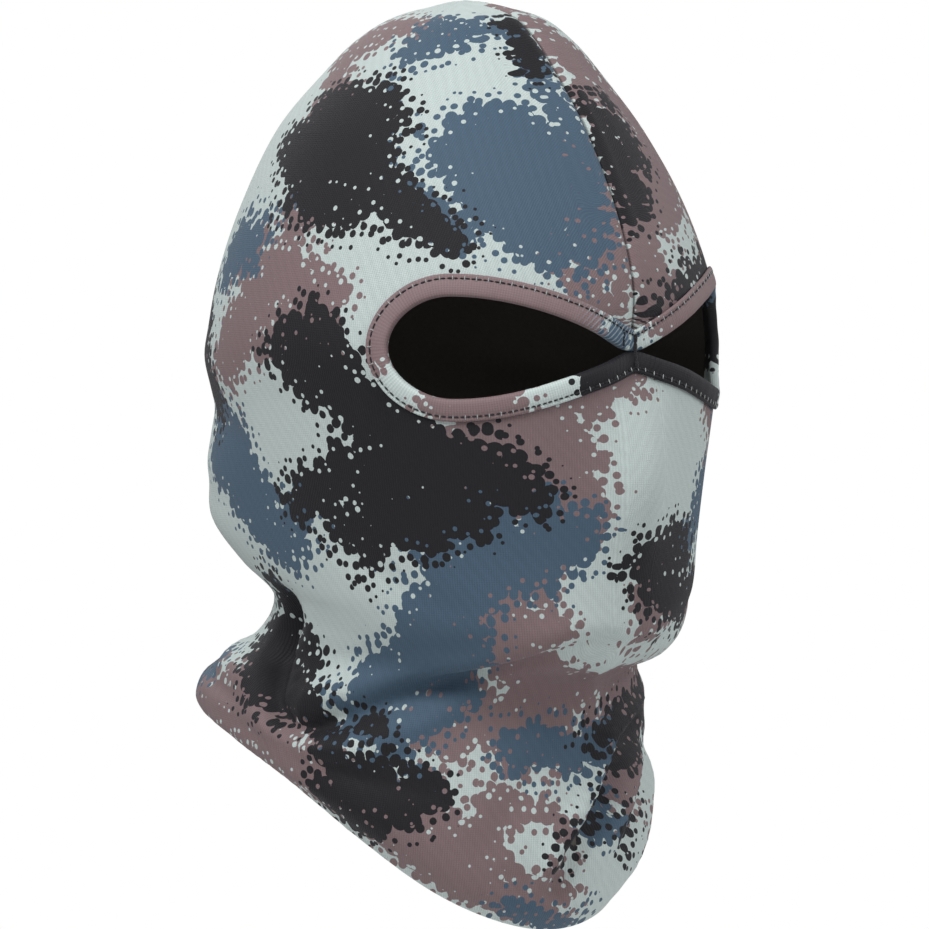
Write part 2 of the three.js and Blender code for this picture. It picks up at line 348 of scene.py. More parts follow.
def unit(vectors):
    return vectors / np.maximum(np.linalg.norm(vectors, axis=-1, keepdims=True), 1e-9)


def outward(angle, row):
    step = 1e-3
    across = onHood(angle + step, row) - onHood(angle - step, row)
    down = onHood(angle, np.minimum(row + step, 1)) - onHood(angle, np.maximum(row - step, 0))
    return unit(np.cross(down, across))


def offFace(angle, row, distance):
    return onHood(angle, row) + outward(angle, row) * np.asarray(distance)[..., None]


def rowAt(angle, height):
    # the row where the hood is at a height, found by halving
    low = np.zeros(np.shape(angle))
    high = np.ones(np.shape(angle))
    for _ in range(24):
        middle = (low + high) / 2
        above = onHood(angle, middle)[..., 2] > height
        low = np.where(above, middle, low)
        high = np.where(above, high, middle)
    return (low + high) / 2


def placeOf(points):
    # the angle and row nearest to points beside the hood
    angle = np.arctan2(points[..., 0], -points[..., 1])
    row = rowAt(angle, points[..., 2])
    for _ in range(4):
        forward, _, behind, _, width, _, _ = np.moveaxis(throughPoints(stations, row), -1, 0)
        middle = (behind - forward) / 2
        angle = np.arctan2(points[..., 0] / width, (middle - points[..., 1]) / ((behind + forward) / 2))
        row = rowAt(angle, points[..., 2])
    return angle, row


# Distance round the eye line from the bridge, against the angle.
eyeAngles = np.linspace(0, math.pi, 401)
eyeRing = onHood(eyeAngles, rowAt(eyeAngles, -opening["line"] + hood["cadFabric"]))
eyeArcs = lengthAlong(eyeRing[:, :2])


def angleAt(arc):
    return np.sign(arc) * np.interp(np.abs(arc), eyeArcs, eyeAngles)


def halfOpening(arc):
    # half the height of the opening, at a distance round from the bridge
    half = opening["height"] / 2
    waist = opening["bridgeGap"] / 2
    length = np.abs(arc)

    def eased(value):
        return np.sqrt(value ** 2 + opening["bridgeEase"] ** 2) - opening["bridgeEase"]

    inner = waist + (half - waist) * np.sin(math.pi / 2 * eased(length) / eased(opening["peak"]))
    end = (length - opening["peak"]) / (opening["reach"] - opening["peak"])
    outer = half * np.sqrt(np.clip(1 - end ** 2, 0, 1))
    return np.where(length > opening["peak"], outer, inner)


def openingMiddle(arc):
    return -opening["line"] + opening["lift"] * (1 - np.exp(-((arc / opening["liftSpread"]) ** 2)))


def openingLoop(count):
    # evenly spaced places round the opening, from the wearer's right over the top and back below
    def edgeAt(turn):
        arc = -opening["reach"] * np.cos(turn)
        return arc, openingMiddle(arc) + np.where(turn <= math.pi, 1, -1) * halfOpening(arc)

    fine = np.linspace(0, 2 * math.pi, 4001)
    length = lengthAlong(np.stack(edgeAt(fine), -1))
    turn = np.interp(np.arange(count) / count * length[-1], length, fine)
    arc, height = edgeAt(turn)
    angle = angleAt(arc)
    row = rowAt(angle, height + hood["cadFabric"])
    return arc, turn <= math.pi, onHood(angle, row), outward(angle, row), length[-1]


# The hood's grid

def columnAngles():
    beside = np.array(hood["seamColumns"])
    far = eyeArcs[-1]
    between = np.linspace(beside[-1], far - beside[-1], hood["columns"] // 2 - 2 * len(beside) + 2)
    half = np.concatenate([beside, between[1:-1], far - beside[::-1]])
    angle = np.interp(half, eyeArcs, eyeAngles)
    return np.concatenate([angle, -angle[-2:0:-1]])


def rowShares():
    fine = np.linspace(0, 1, 2001)
    lines = [onHood(np.full(len(fine), angle), fine) for angle in (0, math.pi / 2, math.pi)]
    length = np.sum([lengthAlong(line) for line in lines], axis=0)
    start = np.interp(hood["apexRow"], fine, length)
    return np.interp(np.linspace(start, length[-1], hood["rows"]), length, fine)


angles = columnAngles()
rows = rowShares()
angleGrid, rowGrid = np.meshgrid(angles, rows)
base = onHood(angleGrid, rowGrid)
away = outward(angleGrid, rowGrid)
ringSteps = np.linalg.norm(np.roll(base, -1, axis=1) - base, axis=2)
ringArc = np.concatenate([np.zeros((len(rows), 1)), np.cumsum(ringSteps, axis=1)[:, :-1]], axis=1)
ringHalf = ringSteps.sum(axis=1, keepdims=True) / 2
across = np.where(ringArc <= ringHalf + 1e-6, ringArc, ringArc - 2 * ringHalf)
drop = -base[:, :, 2] + hood["cadFabric"]
front = np.cos(angleGrid) > 0
print("hood grid:", base.shape[0], "rows,", base.shape[1], "columns")


def spot(aside, below):
    # the grid place at a distance round from the front and a drop below the crown
    near = ((across - aside) ** 2 + (drop - below) ** 2).argmin()
    return base.reshape(-1, 3)[near]


def nearest(points, centres):
    # distance from each point to the nearest centre
    best = np.full(len(points), 1e6)
    for centre in centres:
        best = np.minimum(best, np.linalg.norm(points - centre, axis=1))
    return best


# Folds and creases: a line of places (distance round, drop), its height and its spread, all in mm.
# A height below 0 is a crease.
folds = [
    # the deep crease where the neck turns under the jaw, from the nape round to the throat
    ([(-146, 208), (-138, 217), (-129, 228), (-119, 242), (-108, 249), (-96, 249), (-84, 245)], -6.5, 4.4),
    ([(-140, 210), (-128, 224), (-114, 233), (-104, 236)], -4.5, 8.0),
    ([(-100, 249), (-80, 244), (-65, 238), (-50, 233), (-40, 228), (-26, 222), (-8, 217)], -4.4, 3.8),
    ([(-128, 212), (-112, 224), (-100, 238), (-84, 237), (-64, 229), (-44, 223), (-24, 213)], 3.0, 5.6),
    ([(-140, 238), (-122, 254), (-100, 259), (-78, 256), (-56, 247), (-34, 238)], 3.0, 4.6),
    ([(-122, 221), (-114, 228), (-110, 236)], 2.4, 3.2),
    # folds that fan out of the hollow of the nape, and run beside the hem
    ([(-182, 234), (-156, 240), (-126, 246)], -1.9, 3.6),
    ([(-186, 228), (-160, 232), (-140, 236)], 1.6, 4.2),
    ([(-165, 247), (-113, 257), (-79, 265), (-52, 270)], -2.0, 3.2),
    ([(-162, 253), (-114, 266), (-78, 279), (-56, 287)], 1.5, 4.0),
    ([(-150, 259), (-108, 273), (-72, 292), (-50, 301)], -1.0, 3.4),
    # the fold down the front of the neck and the drape beside it
    ([(44, 243), (30, 248), (18, 254), (11, 264), (5, 274), (-3, 284), (-9, 293), (-14, 303)], 5.2, 4.2),
    ([(44, 252), (28, 257), (20, 264), (14, 275), (5, 286), (-2, 295), (-8, 304)], -6.4, 4.0),
    ([(-4, 224), (6, 236), (8, 248)], 1.8, 4.0),
    ([(-16, 240), (-10, 256), (-20, 274), (-36, 292)], -1.8, 5.5),
    ([(44, 262), (34, 270), (24, 284), (10, 299)], 3.0, 4.4),
    ([(50, 270), (40, 281), (28, 294), (12, 308)], -4.2, 4.0),
    ([(60, 268), (54, 284), (40, 302)], 1.8, 5.0),
    ([(-30, 300), (-14, 304), (2, 303), (16, 298)], -2.0, 3.4),
    # under the chin and round the wearer's left
    ([(-20, 217), (6, 221), (30, 215)], -1.8, 4.6),
    ([(24, 214), (42, 213), (60, 209)], -2.6, 7.0),
    ([(20, 234), (42, 229), (72, 225)], -3.0, 5.0),
    ([(24, 244), (52, 243), (84, 240), (120, 231), (150, 222)], 2.4, 6.5),
    ([(38, 256), (70, 262), (110, 254), (160, 242)], -2.4, 4.6),
    ([(60, 275), (100, 268), (150, 251)], 1.5, 5.0),
    ([(60, 228), (95, 226), (128, 219), (158, 209)], -3.8, 5.6),
    ([(142, 230), (184, 229)], 2.0, 4.6),
    ([(70, 284), (112, 270), (160, 254)], -1.4, 3.4),
    # the cloth spans the hollow between the crown and the wearer's left brow
    ([(22, 18), (34, 32), (44, 48)], -2.6, 13.0),
    # small pulls beside the eyes and over the cheeks
    ([(-95, 128), (-90, 140), (-86, 150)], -0.9, 2.4),
    ([(-100, 130), (-96, 143)], 0.7, 2.4),
    ([(95, 128), (90, 141)], -0.8, 2.4),
    ([(-4, 104), (-9, 90)], -0.5, 2.2),
    ([(5, 104), (10, 89)], -0.5, 2.2),
    ([(-12, 107), (-22, 95)], -0.45, 2.4),
    ([(12, 107), (24, 95)], -0.45, 2.4),
    ([(-6, 130), (-10, 142)], -0.45, 2.4),
    ([(7, 130), (11, 142)], -0.45, 2.4),
    ([(-118, 182), (-90, 196), (-62, 205)], -1.1, 5.5),
    ([(110, 185), (84, 198), (58, 205)], -1.1, 5.5),
    # slack over the back of the head
    ([(-222, 124), (-190, 127), (-160, 134)], 1.5, 8.0),
    ([(-222, 142), (-190, 146), (-164, 150)], -1.7, 6.5),
    ([(-220, 160), (-190, 165), (-166, 170)], 1.5, 7.0),
    ([(222, 128), (190, 131), (165, 137)], 1.4, 8.0),
    ([(222, 147), (190, 150), (168, 154)], -1.6, 6.5),
    ([(-232, 196), (-200, 200), (-172, 206)], -2.2, 6.0),
    ([(232, 198), (200, 202), (172, 207)], -2.2, 6.0),
    ([(-215, 234), (-204, 250)], -2.0, 6.0),
    ([(200, 233), (212, 250)], -1.8, 6.0),
    ([(-238, 236), (-230, 252)], 1.5, 6.0),
]


def alongLine(places, gap=3.0):
    # points every few millimetres along a line of places, and a weight that fades at both ends
    spots = np.array([spot(*place) for place in places])
    length = lengthAlong(spots)
    even = np.linspace(0, length[-1], max(3, int(length[-1] / gap)))
    share = even / length[-1]
    fade = np.sin(math.pi * np.clip(0.08 + 0.84 * share, 0, 1)) ** 0.7
    return atLengths(even, length, spots), fade


def foldHeights(points):
    total = np.zeros(len(points))
    for places, height, spread in folds:
        line, fade = alongLine(places)
        strength = np.zeros(len(points))
        for centre, weight in zip(line, fade):
            gap = np.linalg.norm(points - centre, axis=1) / spread
            strength = np.maximum(strength, weight * np.exp(-(gap ** 2)))
        total += height * strength
    return total


def ripple(points, size):
    # a smooth uneven value between about -1 and 1, from a few crossed waves
    x, y, z = (points / size).T
    wave = np.sin(1.9 * x + 0.7 * z + 0.4) * np.sin(1.3 * y - 0.9 * z + 1.7)
    wave += 0.6 * np.sin(2.7 * z + 1.1 * x - 2.3 * y + 2.2)
    wave += 0.5 * np.sin(3.1 * y + 2.3 * x + 0.9) * np.sin(2.9 * z - 1.3 * x)
    return wave / 1.6


flatBase = base.reshape(-1, 3)
lift = foldHeights(flatBase).reshape(drop.shape)
lift += hood["slack"] * ripple(flatBase, 17).reshape(drop.shape) * np.clip((drop - 190) / 40, 0, 1)
# the seam runs over the crown and down the back, and ends at the bridge
seamed = np.where(front, np.clip((hood["seamEnd"] - drop) / 4, 0, 1), 1)
fromSeam = np.abs(base[:, :, 0])
lift -= seamed * hood["seamDepth"] * np.exp(-fromSeam / hood["seamSpread"])
lift += seamed * 0.5 * np.exp(-((fromSeam - 4.2) / 2.2) ** 2)  # the allowance lifts the cloth beside it
outer = base + away * lift[:, :, None]
print("folds raised")


# The flat pattern: each half of the panel is relaxed onto a plane, so the print and the knit lie on it
# as they would on the cloth. The front fold below the eyes is the line where across is 0.
pattern = {
    "columns": 31,
    "rows": 57,
    "passes": 2600,
    "pull": 0.42,
    "haste": 1.9,
    "start": (1.25, 110.0),  # the first guess is the side view, widened and moved to start at the front
    "split": 70.0,  # half the width of the cut that the eye opening makes
}


def flattenHalf():
    angle = np.linspace(0, math.pi, pattern["columns"])
    row = np.linspace(hood["apexRow"], 1, pattern["rows"])
    points = onHood(*np.meshgrid(angle, row))
    widened, moved = pattern["start"]
    flat = np.stack([points[:, :, 1] * widened + moved, points[:, :, 2]], -1)
    below = points[:, 0, 2] < -opening["line"] - 4
    flat[below, 0, 0] = 0
    count = points.shape[0] * points.shape[1]
    index = np.arange(count).reshape(points.shape[:2])
    pairs = np.concatenate([
        np.stack([index[:, :-1].ravel(), index[:, 1:].ravel()], -1),
        np.stack([index[:-1].ravel(), index[1:].ravel()], -1),
        np.stack([index[:-1, :-1].ravel(), index[1:, 1:].ravel()], -1),
        np.stack([index[:-1, 1:].ravel(), index[1:, :-1].ravel()], -1),
    ])
    solid = points.reshape(-1, 3)
    # nothing ties the cloth above the eye opening to the cloth below it
    middle = (solid[pairs[:, 0]] + solid[pairs[:, 1]]) / 2
    ends = np.abs(solid[pairs[:, 0], 2] - solid[pairs[:, 1], 2])
    cut = (np.abs(middle[:, 2] + opening["line"]) < opening["height"] / 3) & (ends > 2)
    cut &= (middle[:, 1] < 0) & (np.abs(middle[:, 0]) < pattern["split"])
    pairs = pairs[~cut]
    goal = np.linalg.norm(solid[pairs[:, 0]] - solid[pairs[:, 1]], axis=1)
    place = flat.reshape(-1, 2)
    ties = np.maximum(np.bincount(pairs.ravel(), minlength=count), 1)[:, None]
    for _ in range(pattern["passes"]):
        gap = place[pairs[:, 1]] - place[pairs[:, 0]]
        length = np.maximum(np.linalg.norm(gap, axis=1), 1e-6)
        move = gap * ((length - goal) / length * pattern["pull"])[:, None]
        shift = np.zeros_like(place)
        for axis in (0, 1):
            shift[:, axis] += np.bincount(pairs[:, 0], move[:, axis], count)
            shift[:, axis] -= np.bincount(pairs[:, 1], move[:, axis], count)
        place = place + shift / ties * pattern["haste"]
        place.reshape(flat.shape)[below, 0, 0] = 0
    return place.reshape(flat.shape), goal, place, pairs


halfPattern, goalLengths, placed, pairList = flattenHalf()
stretch = np.linalg.norm(placed[pairList[:, 0]] - placed[pairList[:, 1]], axis=1) / goalLengths
print("flat pattern: lengths kept to", np.percentile(stretch, [5, 50, 95]).round(2))


def onPattern(angle, row):
    # the flat place of a point of the wearer's left half
    columnShare = np.abs(angle) / math.pi
    rowShare = (row - hood["apexRow"]) / (1 - hood["apexRow"])
    lines = throughPoints(halfPattern.reshape(pattern["rows"], -1), rowShare)
    lines = lines.reshape(len(rowShare), pattern["columns"], 2)
    count = pattern["columns"] - 1
    place = np.clip(columnShare, 0, 1) * count
    start = np.minimum(np.floor(place).astype(int), count - 1)
    part = (place - start)[:, None]
    pick = np.arange(len(rowShare))
    return lines[pick, start] * (1 - part) + lines[pick, start + 1] * part


# The print. Patches are chains of round spots: distance round from the front, drop and radius in mm.
# Negative distances are the wearer's right half.
mauvePatches = [
    [(-48, 9, 6), (-62, 12, 8), (-76, 15, 9), (-92, 25, 8)],
    [(-6, 60, 4), (-6, 80, 5), (-6, 94, 6), (-8, 104, 7), (-20, 103, 7)],
    [(-132, 82, 6), (-136, 92, 11), (-125, 98, 9), (-108, 100, 6)],
    [(-146, 100, 12), (-160, 112, 13), (-171, 124, 10)],
    [(-60, 143, 6), (-50, 142, 9), (-37, 143, 12), (-30, 155, 11), (-22, 166, 8)],
    [(-34, 133, 9), (-18, 132, 9), (-9, 129, 6), (1, 128, 4)],
    [(-50, 216, 8), (-41, 212, 10), (-30, 214, 9)],
    [(-42, 222, 9), (-26, 228, 13), (-8, 233, 12), (8, 232, 11), (26, 234, 11), (42, 240, 8)],
    [(-44, 254, 6), (-32, 245, 9), (-12, 243, 9)],
    [(7, 209, 4), (9, 217, 6)],
    [(-178, 250, 9), (-158, 244, 9), (-134, 250, 10), (-113, 260, 8), (-102, 266, 5)],
    [(-160, 256, 9), (-138, 262, 9), (-119, 267, 7)],
    [(-64, 289, 10), (-48, 290, 11), (-36, 283, 8), (-27, 275, 7), (-14, 276, 6)],
    [(-52, 299, 8), (-38, 300, 10), (-27, 299, 6)],
    [(-26, 305, 6), (-14, 303, 5), (-3, 305, 4)],
    [(36, 270, 7), (26, 271, 6)],
    [(-190, 208, 13), (-206, 214, 14)],
    [(-196, 60, 18), (-176, 44, 14)],
    [(-236, 132, 20), (-244, 152, 16)],
    [(7, 9, 7), (14, 16, 10), (26, 24, 13), (38, 36, 15), (44, 52, 15), (34, 63, 12), (22, 71, 10),
     (10, 78, 8), (5, 86, 5)],
    [(4, 3, 6), (5, 14, 7), (8, 24, 8), (8, 32, 7)],
    [(8, 78, 8), (8, 88, 8), (7, 98, 7), (5, 106, 5)],
    [(60, 60, 13), (58, 76, 10)],
    [(90, 30, 12), (110, 44, 16), (128, 60, 12)],
    [(96, 116, 11), (112, 112, 13), (130, 118, 14)],
    [(54, 138, 12), (72, 146, 14), (92, 152, 11)],
    [(120, 176, 14), (140, 186, 16)],
    [(66, 214, 14), (84, 226, 14), (100, 238, 12)],
    [(176, 90, 16), (196, 100, 18), (214, 92, 14)],
    [(220, 170, 18), (236, 186, 16)],
    [(160, 246, 13), (184, 248, 12)],
    [(62, 292, 10), (80, 282, 9)],
]
bluePatches = [
    [(-24, 11, 8), (-36, 13, 9), (-46, 17, 7)],
    [(-50, 52, 12), (-40, 50, 16), (-28, 51, 16)],
    [(-42, 62, 16), (-27, 66, 16), (-46, 72, 9), (-31, 78, 13), (-20, 84, 8), (-16, 89, 6)],
    [(-26, 44, 11), (-13, 50, 9), (-11, 60, 9), (-12, 72, 8)],
    [(-9, 32, 6), (-8, 40, 8), (-7, 50, 8), (-7, 60, 8), (-8, 68, 6)],
    [(-166, 84, 11), (-154, 84, 9), (-176, 92, 10)],
    [(-172, 152, 13), (-163, 168, 14), (-149, 180, 11), (-131, 188, 8)],
    [(-186, 158, 12)],
    [(-22, 178, 8), (-32, 184, 12), (-50, 189, 14), (-64, 200, 14), (-70, 213, 15), (-62, 227, 14),
     (-76, 239, 10)],
    [(-60, 247, 8), (-46, 238, 9), (-60, 213, 10)],
    [(-25, 254, 6), (-13, 257, 8), (-2, 258, 8), (6, 256, 5)],
    [(13, 284, 4)],
    [(-22, 313, 5), (-8, 316, 5), (6, 318, 4)],
    [(-178, 238, 8), (-164, 232, 6)],
    [(-220, 30, 16), (-236, 46, 16), (-150, 20, 12)],
    [(-214, 186, 13), (-232, 196, 15)],
    [(-206, 250, 12), (-228, 246, 12)],
    [(70, 14, 12), (88, 12, 10)],
    [(96, 74, 14), (112, 82, 16), (132, 92, 15)],
    [(46, 176, 9), (60, 172, 13), (78, 178, 15), (98, 190, 12)],
    [(58, 128, 6), (66, 150, 6)],
    [(150, 142, 16), (168, 150, 18), (188, 148, 14)],
    [(150, 40, 14), (176, 52, 16), (198, 46, 14)],
    [(232, 112, 14), (240, 96, 14)],
    [(110, 254, 12), (132, 248, 12)],
    [(196, 206, 14), (216, 212, 14)],
]
darkPatches = [
    [(-5, 11, 6), (-9, 21, 6)],
    [(-96, 38, 12), (-78, 39, 12), (-72, 45, 9)],
    [(-118, 50, 14), (-100, 52, 17), (-88, 56, 14)],
    [(-124, 68, 8), (-110, 67, 12), (-98, 69, 8), (-84, 65, 9), (-72, 75, 8), (-62, 82, 6)],
    [(-130, 112, 7), (-120, 113, 9), (-113, 117, 8)],
    [(-141, 119, 5), (-131, 121, 8), (-120, 130, 9)],
    [(-126, 122, 7), (-112, 124, 10), (-104, 134, 11), (-95, 143, 11), (-82, 149, 10)],
    [(-91, 160, 14), (-77, 156, 12), (-62, 158, 12), (-48, 162, 10), (-38, 166, 7)],
    [(-112, 163, 12), (-125, 168, 9), (-133, 171, 6)],
    [(-108, 180, 8), (-94, 177, 13), (-76, 173, 13), (-60, 172, 9)],
    [(-96, 189, 7)],
    [(1, 193, 6), (10, 188, 9), (20, 188, 10), (31, 191, 10)],
    [(8, 202, 7), (22, 203, 10), (36, 206, 9), (50, 202, 8)],
    [(-150, 203, 6), (-146, 213, 8), (-138, 223, 10), (-126, 232, 12), (-112, 237, 12), (-102, 240, 9),
     (-94, 248, 6)],
    [(-112, 224, 9), (-106, 228, 8)],
    [(-84, 250, 4), (-72, 250, 3)],
    [(-92, 261, 7), (-84, 268, 9), (-74, 268, 10), (-64, 273, 9), (-54, 269, 7)],
    [(-98, 271, 7), (-88, 277, 8), (-78, 282, 6)],
    [(10, 253, 5), (22, 253, 9), (34, 250, 10), (46, 246, 9), (28, 262, 7)],
    [(17, 266, 3), (13, 274, 4), (7, 282, 4), (-1, 290, 4), (-6, 295, 3)],
    [(38, 281, 4), (31, 287, 5), (31, 296, 2)],
    [(-196, 134, 14), (-210, 122, 16), (-214, 106, 13)],
    [(-230, 76, 16), (-212, 84, 12)],
    [(-186, 236, 7)],
    [(-224, 222, 12)],
    [(5, 34, 4), (7, 42, 6), (8, 50, 8), (9, 58, 9), (9, 66, 9), (8, 72, 6)],
    [(20, 35, 5), (17, 44, 6), (20, 54, 6)],
    [(10, 104, 5), (17, 102, 4), (26, 97, 4), (34, 94, 4), (44, 94, 6), (56, 94, 8)],
    [(76, 96, 11), (92, 96, 12), (60, 100, 9)],
    [(70, 122, 5), (116, 138, 14), (132, 150, 15), (112, 158, 13), (96, 168, 11)],
    [(128, 24, 12), (150, 66, 14), (166, 76, 14)],
    [(150, 108, 13), (168, 120, 13)],
    [(200, 72, 13), (224, 62, 14), (232, 30, 16)],
    [(200, 130, 14), (216, 140, 14)],
    [(160, 196, 14), (178, 186, 14), (136, 212, 11)],
    [(84, 262, 12), (100, 268, 10), (60, 250, 10)],
    [(216, 240, 12), (196, 228, 10)],
    [(54, 306, 8)],
]


printing = {
    "chainStep": 5,
    "far": 80.0,  # distances are not told apart beyond this
    "blend": 5.0,  # how softly the spots of a chain run together
    "crossing": 70,  # how far round the front fold a patch of the other half can start
    "above": 5,  # and how far above the eye line
    "runUnder": 1.3,
    "underFrom": 5,
    "underMost": 13,
}


def chainSpots(patch):
    # spots every few millimetres along a patch's chain
    spots = []
    for a, b in zip(patch, patch[1:] or patch):
        steps = max(1, int(math.hypot(b[0] - a[0], b[1] - a[1]) / printing["chainStep"]))
        for k in range(steps + 1):
            share = k / steps
            spots.append([a[i] + (b[i] - a[i]) * share for i in range(3)])
    return spots


def patchField(patches, side):
    # distance in mm to the nearest patch, less than 0 inside. side is -1 for the wearer's right half.
    total = np.full(len(flatBase), printing["far"])
    lower = (flatBase[:, 2] < -opening["line"]) & front.ravel()
    for patch in patches:
        for aside, below, radius in chainSpots(patch):
            centre = spot(aside, below)
            gap = np.linalg.norm(flatBase - centre, axis=1) - radius
            if aside * side < 0:  # the other half's print shows only where the panel is folded, not sewn
                nearFold = (below > opening["line"] - printing["above"]) & (abs(aside) < printing["crossing"])
                gap = np.where(lower & nearFold, gap, printing["far"])
            blend = np.clip(0.5 + 0.5 * (total - gap) / printing["blend"], 0, 1)
            total = total * (1 - blend) + gap * blend - printing["blend"] * blend * (1 - blend) * 0.5
    return np.minimum(total, printing["far"])


print("print patches placed")
fields = {}
for name, patches, seed in (("mauve", mauvePatches, 0), ("blue", bluePatches, 31), ("dark", darkPatches, 67)):
    # uneven edges, from waves of two sizes
    uneven = 2.8 * ripple(flatBase + seed, 9.5) + 1.2 * ripple(flatBase - seed, 4.6)
    fields[name] = [patchField(patches, side) + uneven for side in (-1, 1)]


def runUnder(lower, upper):
    # a colour carries on under the edge of the one printed over it, so no pale sliver is left between
    reach = [np.clip(printing["underFrom"] - field, 0, printing["underMost"]) for field in upper]
    return [field - printing["runUnder"] * run for field, run in zip(lower, reach)]


fields["mauve"] = runUnder(runUnder(fields["mauve"], fields["blue"]), fields["dark"])
fields["blue"] = runUnder(fields["blue"], fields["dark"])
print("print fields worked out")


# The printed knit

printed = {
    "pale": (0.61, 0.705, 0.69, 1),
    "mauve": (0.252, 0.176, 0.184, 1),
    "blue": (0.077, 0.132, 0.196, 1),
    "dark": (0.0145, 0.0138, 0.0180, 1),
    "dotSpacing": 3.9,
    "dotRandomness": 0.78,
    "dotAtEdge": 1.95,  # a dot's radius at the patch's edge
    "dotFade": 0.19,  # how much smaller a dot is for each millimetre further out
    "dotSwell": 0.6,  # how much larger for each millimetre further in
    "dotLeast": 0.62,  # dots under this radius shrink away
    "holeSpacing": 4.5,
    "holeRandomness": 0.8,
    "holeAtEdge": 1.55,
    "holeFade": 0.13,
    "holeLeast": 0.6,
    "shrink": 1.6,
    "edge": 0.09,  # half the width of a dot's soft edge
    "wale": 0.84,  # width of one rib of the knit
    "course": 0.7,
    "twill": 2.9,
}
knitFinish = {
    "Roughness": 0.62,
    "Specular IOR Level": 0.32,
    "Sheen Weight": 0.07,
    "Sheen Roughness": 0.4,
    "Sheen Tint": (0.9, 0.93, 1.0, 1),
}


def scattered(sketch, place, spacing, randomness, channel, smoothness=None):
    # distance in mm to the nearest of scattered points, and a random value that each of them keeps
    settings = {"voronoi_dimensions": "2D"}
    values = {"Vector": place, "Scale": 1 / spacing, "Randomness": randomness}
    colour = sketch.node("ShaderNodeTexVoronoi", settings, values, "Color")
    if smoothness is not None:
        settings = {**settings, "feature": "SMOOTH_F1"}
        values = {**values, "Smoothness": smoothness}
    near = sketch.node("ShaderNodeTexVoronoi", settings, values, "Distance")
    return near * spacing, sketch.node("ShaderNodeSeparateColor", None, {"Color": colour}, channel)


def shrunk(sketch, size, least):
    return size - sketch.maths("MAXIMUM", least - size, 0.0) * printed["shrink"]


def stipple(sketch, flat, field, shift):
    # dots that grow and run together towards a patch, and small holes just inside it
    outside = sketch.maths("MAXIMUM", field, 0.0)
    within = sketch.maths("MAXIMUM", field * -1.0, 0.0)
    place = sketch.vector("ADD", flat, (shift, shift * 0.7, 0))
    near, chance = scattered(sketch, place, printed["dotSpacing"], printed["dotRandomness"], "Red", 0.22)
    size = (printed["dotAtEdge"] - outside * printed["dotFade"]) * (0.72 + chance * 0.4) - 0.1
    size = shrunk(sketch, size, printed["dotLeast"])
    inked = sketch.between(near - size - within * printed["dotSwell"], printed["edge"], -printed["edge"])
    place = sketch.vector("ADD", flat, (shift * 1.3 + 11, 5 - shift, 0))
    near, chance = scattered(sketch, place, printed["holeSpacing"], printed["holeRandomness"], "Green")
    size = (printed["holeAtEdge"] - within * printed["holeFade"]) * (0.62 + chance * 0.55) - 0.25
    size = shrunk(sketch, sketch.maths("MINIMUM", size, within * 0.9 - 0.4), printed["holeLeast"])
    bare = sketch.between(near - size, printed["edge"], -printed["edge"])
    return inked * (1 - bare)


def startKnit(name, fieldEnding, shifts):
    # a knit's shader with its flat place and its printed colour, worked out from its fields
    material, sketch, shader = newMaterial(name, knitFinish)
    place = sketch.node("ShaderNodeUVMap", {"uv_map": "flatPattern"}, None, "UV")
    flat = sketch.vector("MULTIPLY", place, (1000, 1000, 1000))
    colour = sketch.mixColour(0.0, printed["pale"], printed["pale"])
    for inkName, shift in zip(("mauve", "blue", "dark"), shifts):
        ink = stipple(sketch, flat, sketch.field(inkName + fieldEnding), shift)
        colour = sketch.mixColour(ink, colour, printed[inkName])
    return material, sketch, shader, flat, colour


def finishKnit(sketch, shader, colour, shade, rough, height):
    tone = sketch.node("ShaderNodeCombineXYZ", None, {0: shade, 1: shade, 2: shade})
    plug(sketch, sketch.vector("MULTIPLY", colour, tone), shader, "Base Color")
    plug(sketch, rough, shader, "Roughness")
    plugBump(sketch, height, shader, 0.5, 0.00012)


def hoodMaterial():
    material, sketch, shader, flat, colour = startKnit("printed_knit", "_field", (0, 37, 91))
    u = sketch.node("ShaderNodeSeparateXYZ", None, {"Vector": flat}, "X")
    v = u.beside("Y")
    uneven = sketch.noise(flat, 0.35, 2.0, dimensions="2D")
    rib = sketch.wave(u + uneven * 0.5, printed["wale"])
    loop = sketch.wave(v + sketch.maths("ABSOLUTE", rib) * 0.35, printed["course"])
    twill = sketch.wave(u * 0.62 + v * 0.5, printed["twill"])
    fuzz = sketch.noise(flat, 1.9, 3.0, 0.65, "2D")
    shade = 0.92 + rib * 0.055 + loop * 0.03 + twill * 0.022 + fuzz * 0.14
    # painted shade: the knit's colour darkens within a millimetre of the crown seam, for the shadow in its
    # groove as well as the seam's own dark line
    shade = shade * sketch.between(sketch.field("seam_gap"), 0.2, 0.75, 0.42, 1.0)
    height = rib * 0.9 + loop * 0.5 + twill * 0.3 + fuzz * 0.9
    finishKnit(sketch, shader, colour, shade, 0.56 + fuzz * 0.12 - rib * 0.03, height)
    return material


def insideMaterialPaintedShade():
    # the unprinted inside, which lies in shadow; its dark colour is painted shade, standing for that shadow
    # and for the black head form seen through the eye openings
    material, sketch, shader = newMaterial("knit_inside_painted_shade", {"Specular IOR Level": 0.12})
    grain = sketch.noise(sketch.node("ShaderNodeTexCoord", None, None, "Object"), 900.0, 2.0)
    colour = sketch.mixColour(grain, (0.105, 0.098, 0.088, 1), (0.145, 0.135, 0.122, 1))
    plug(sketch, colour, shader, "Base Color")
    plug(sketch, 0.88 + grain * 0.1, shader, "Roughness")
    plugBump(sketch, grain, shader, 0.4, 0.0001)
    return material


printedKnit = hoodMaterial()
insideKnitPaintedShade = insideMaterialPaintedShade()
print("knit materials made")


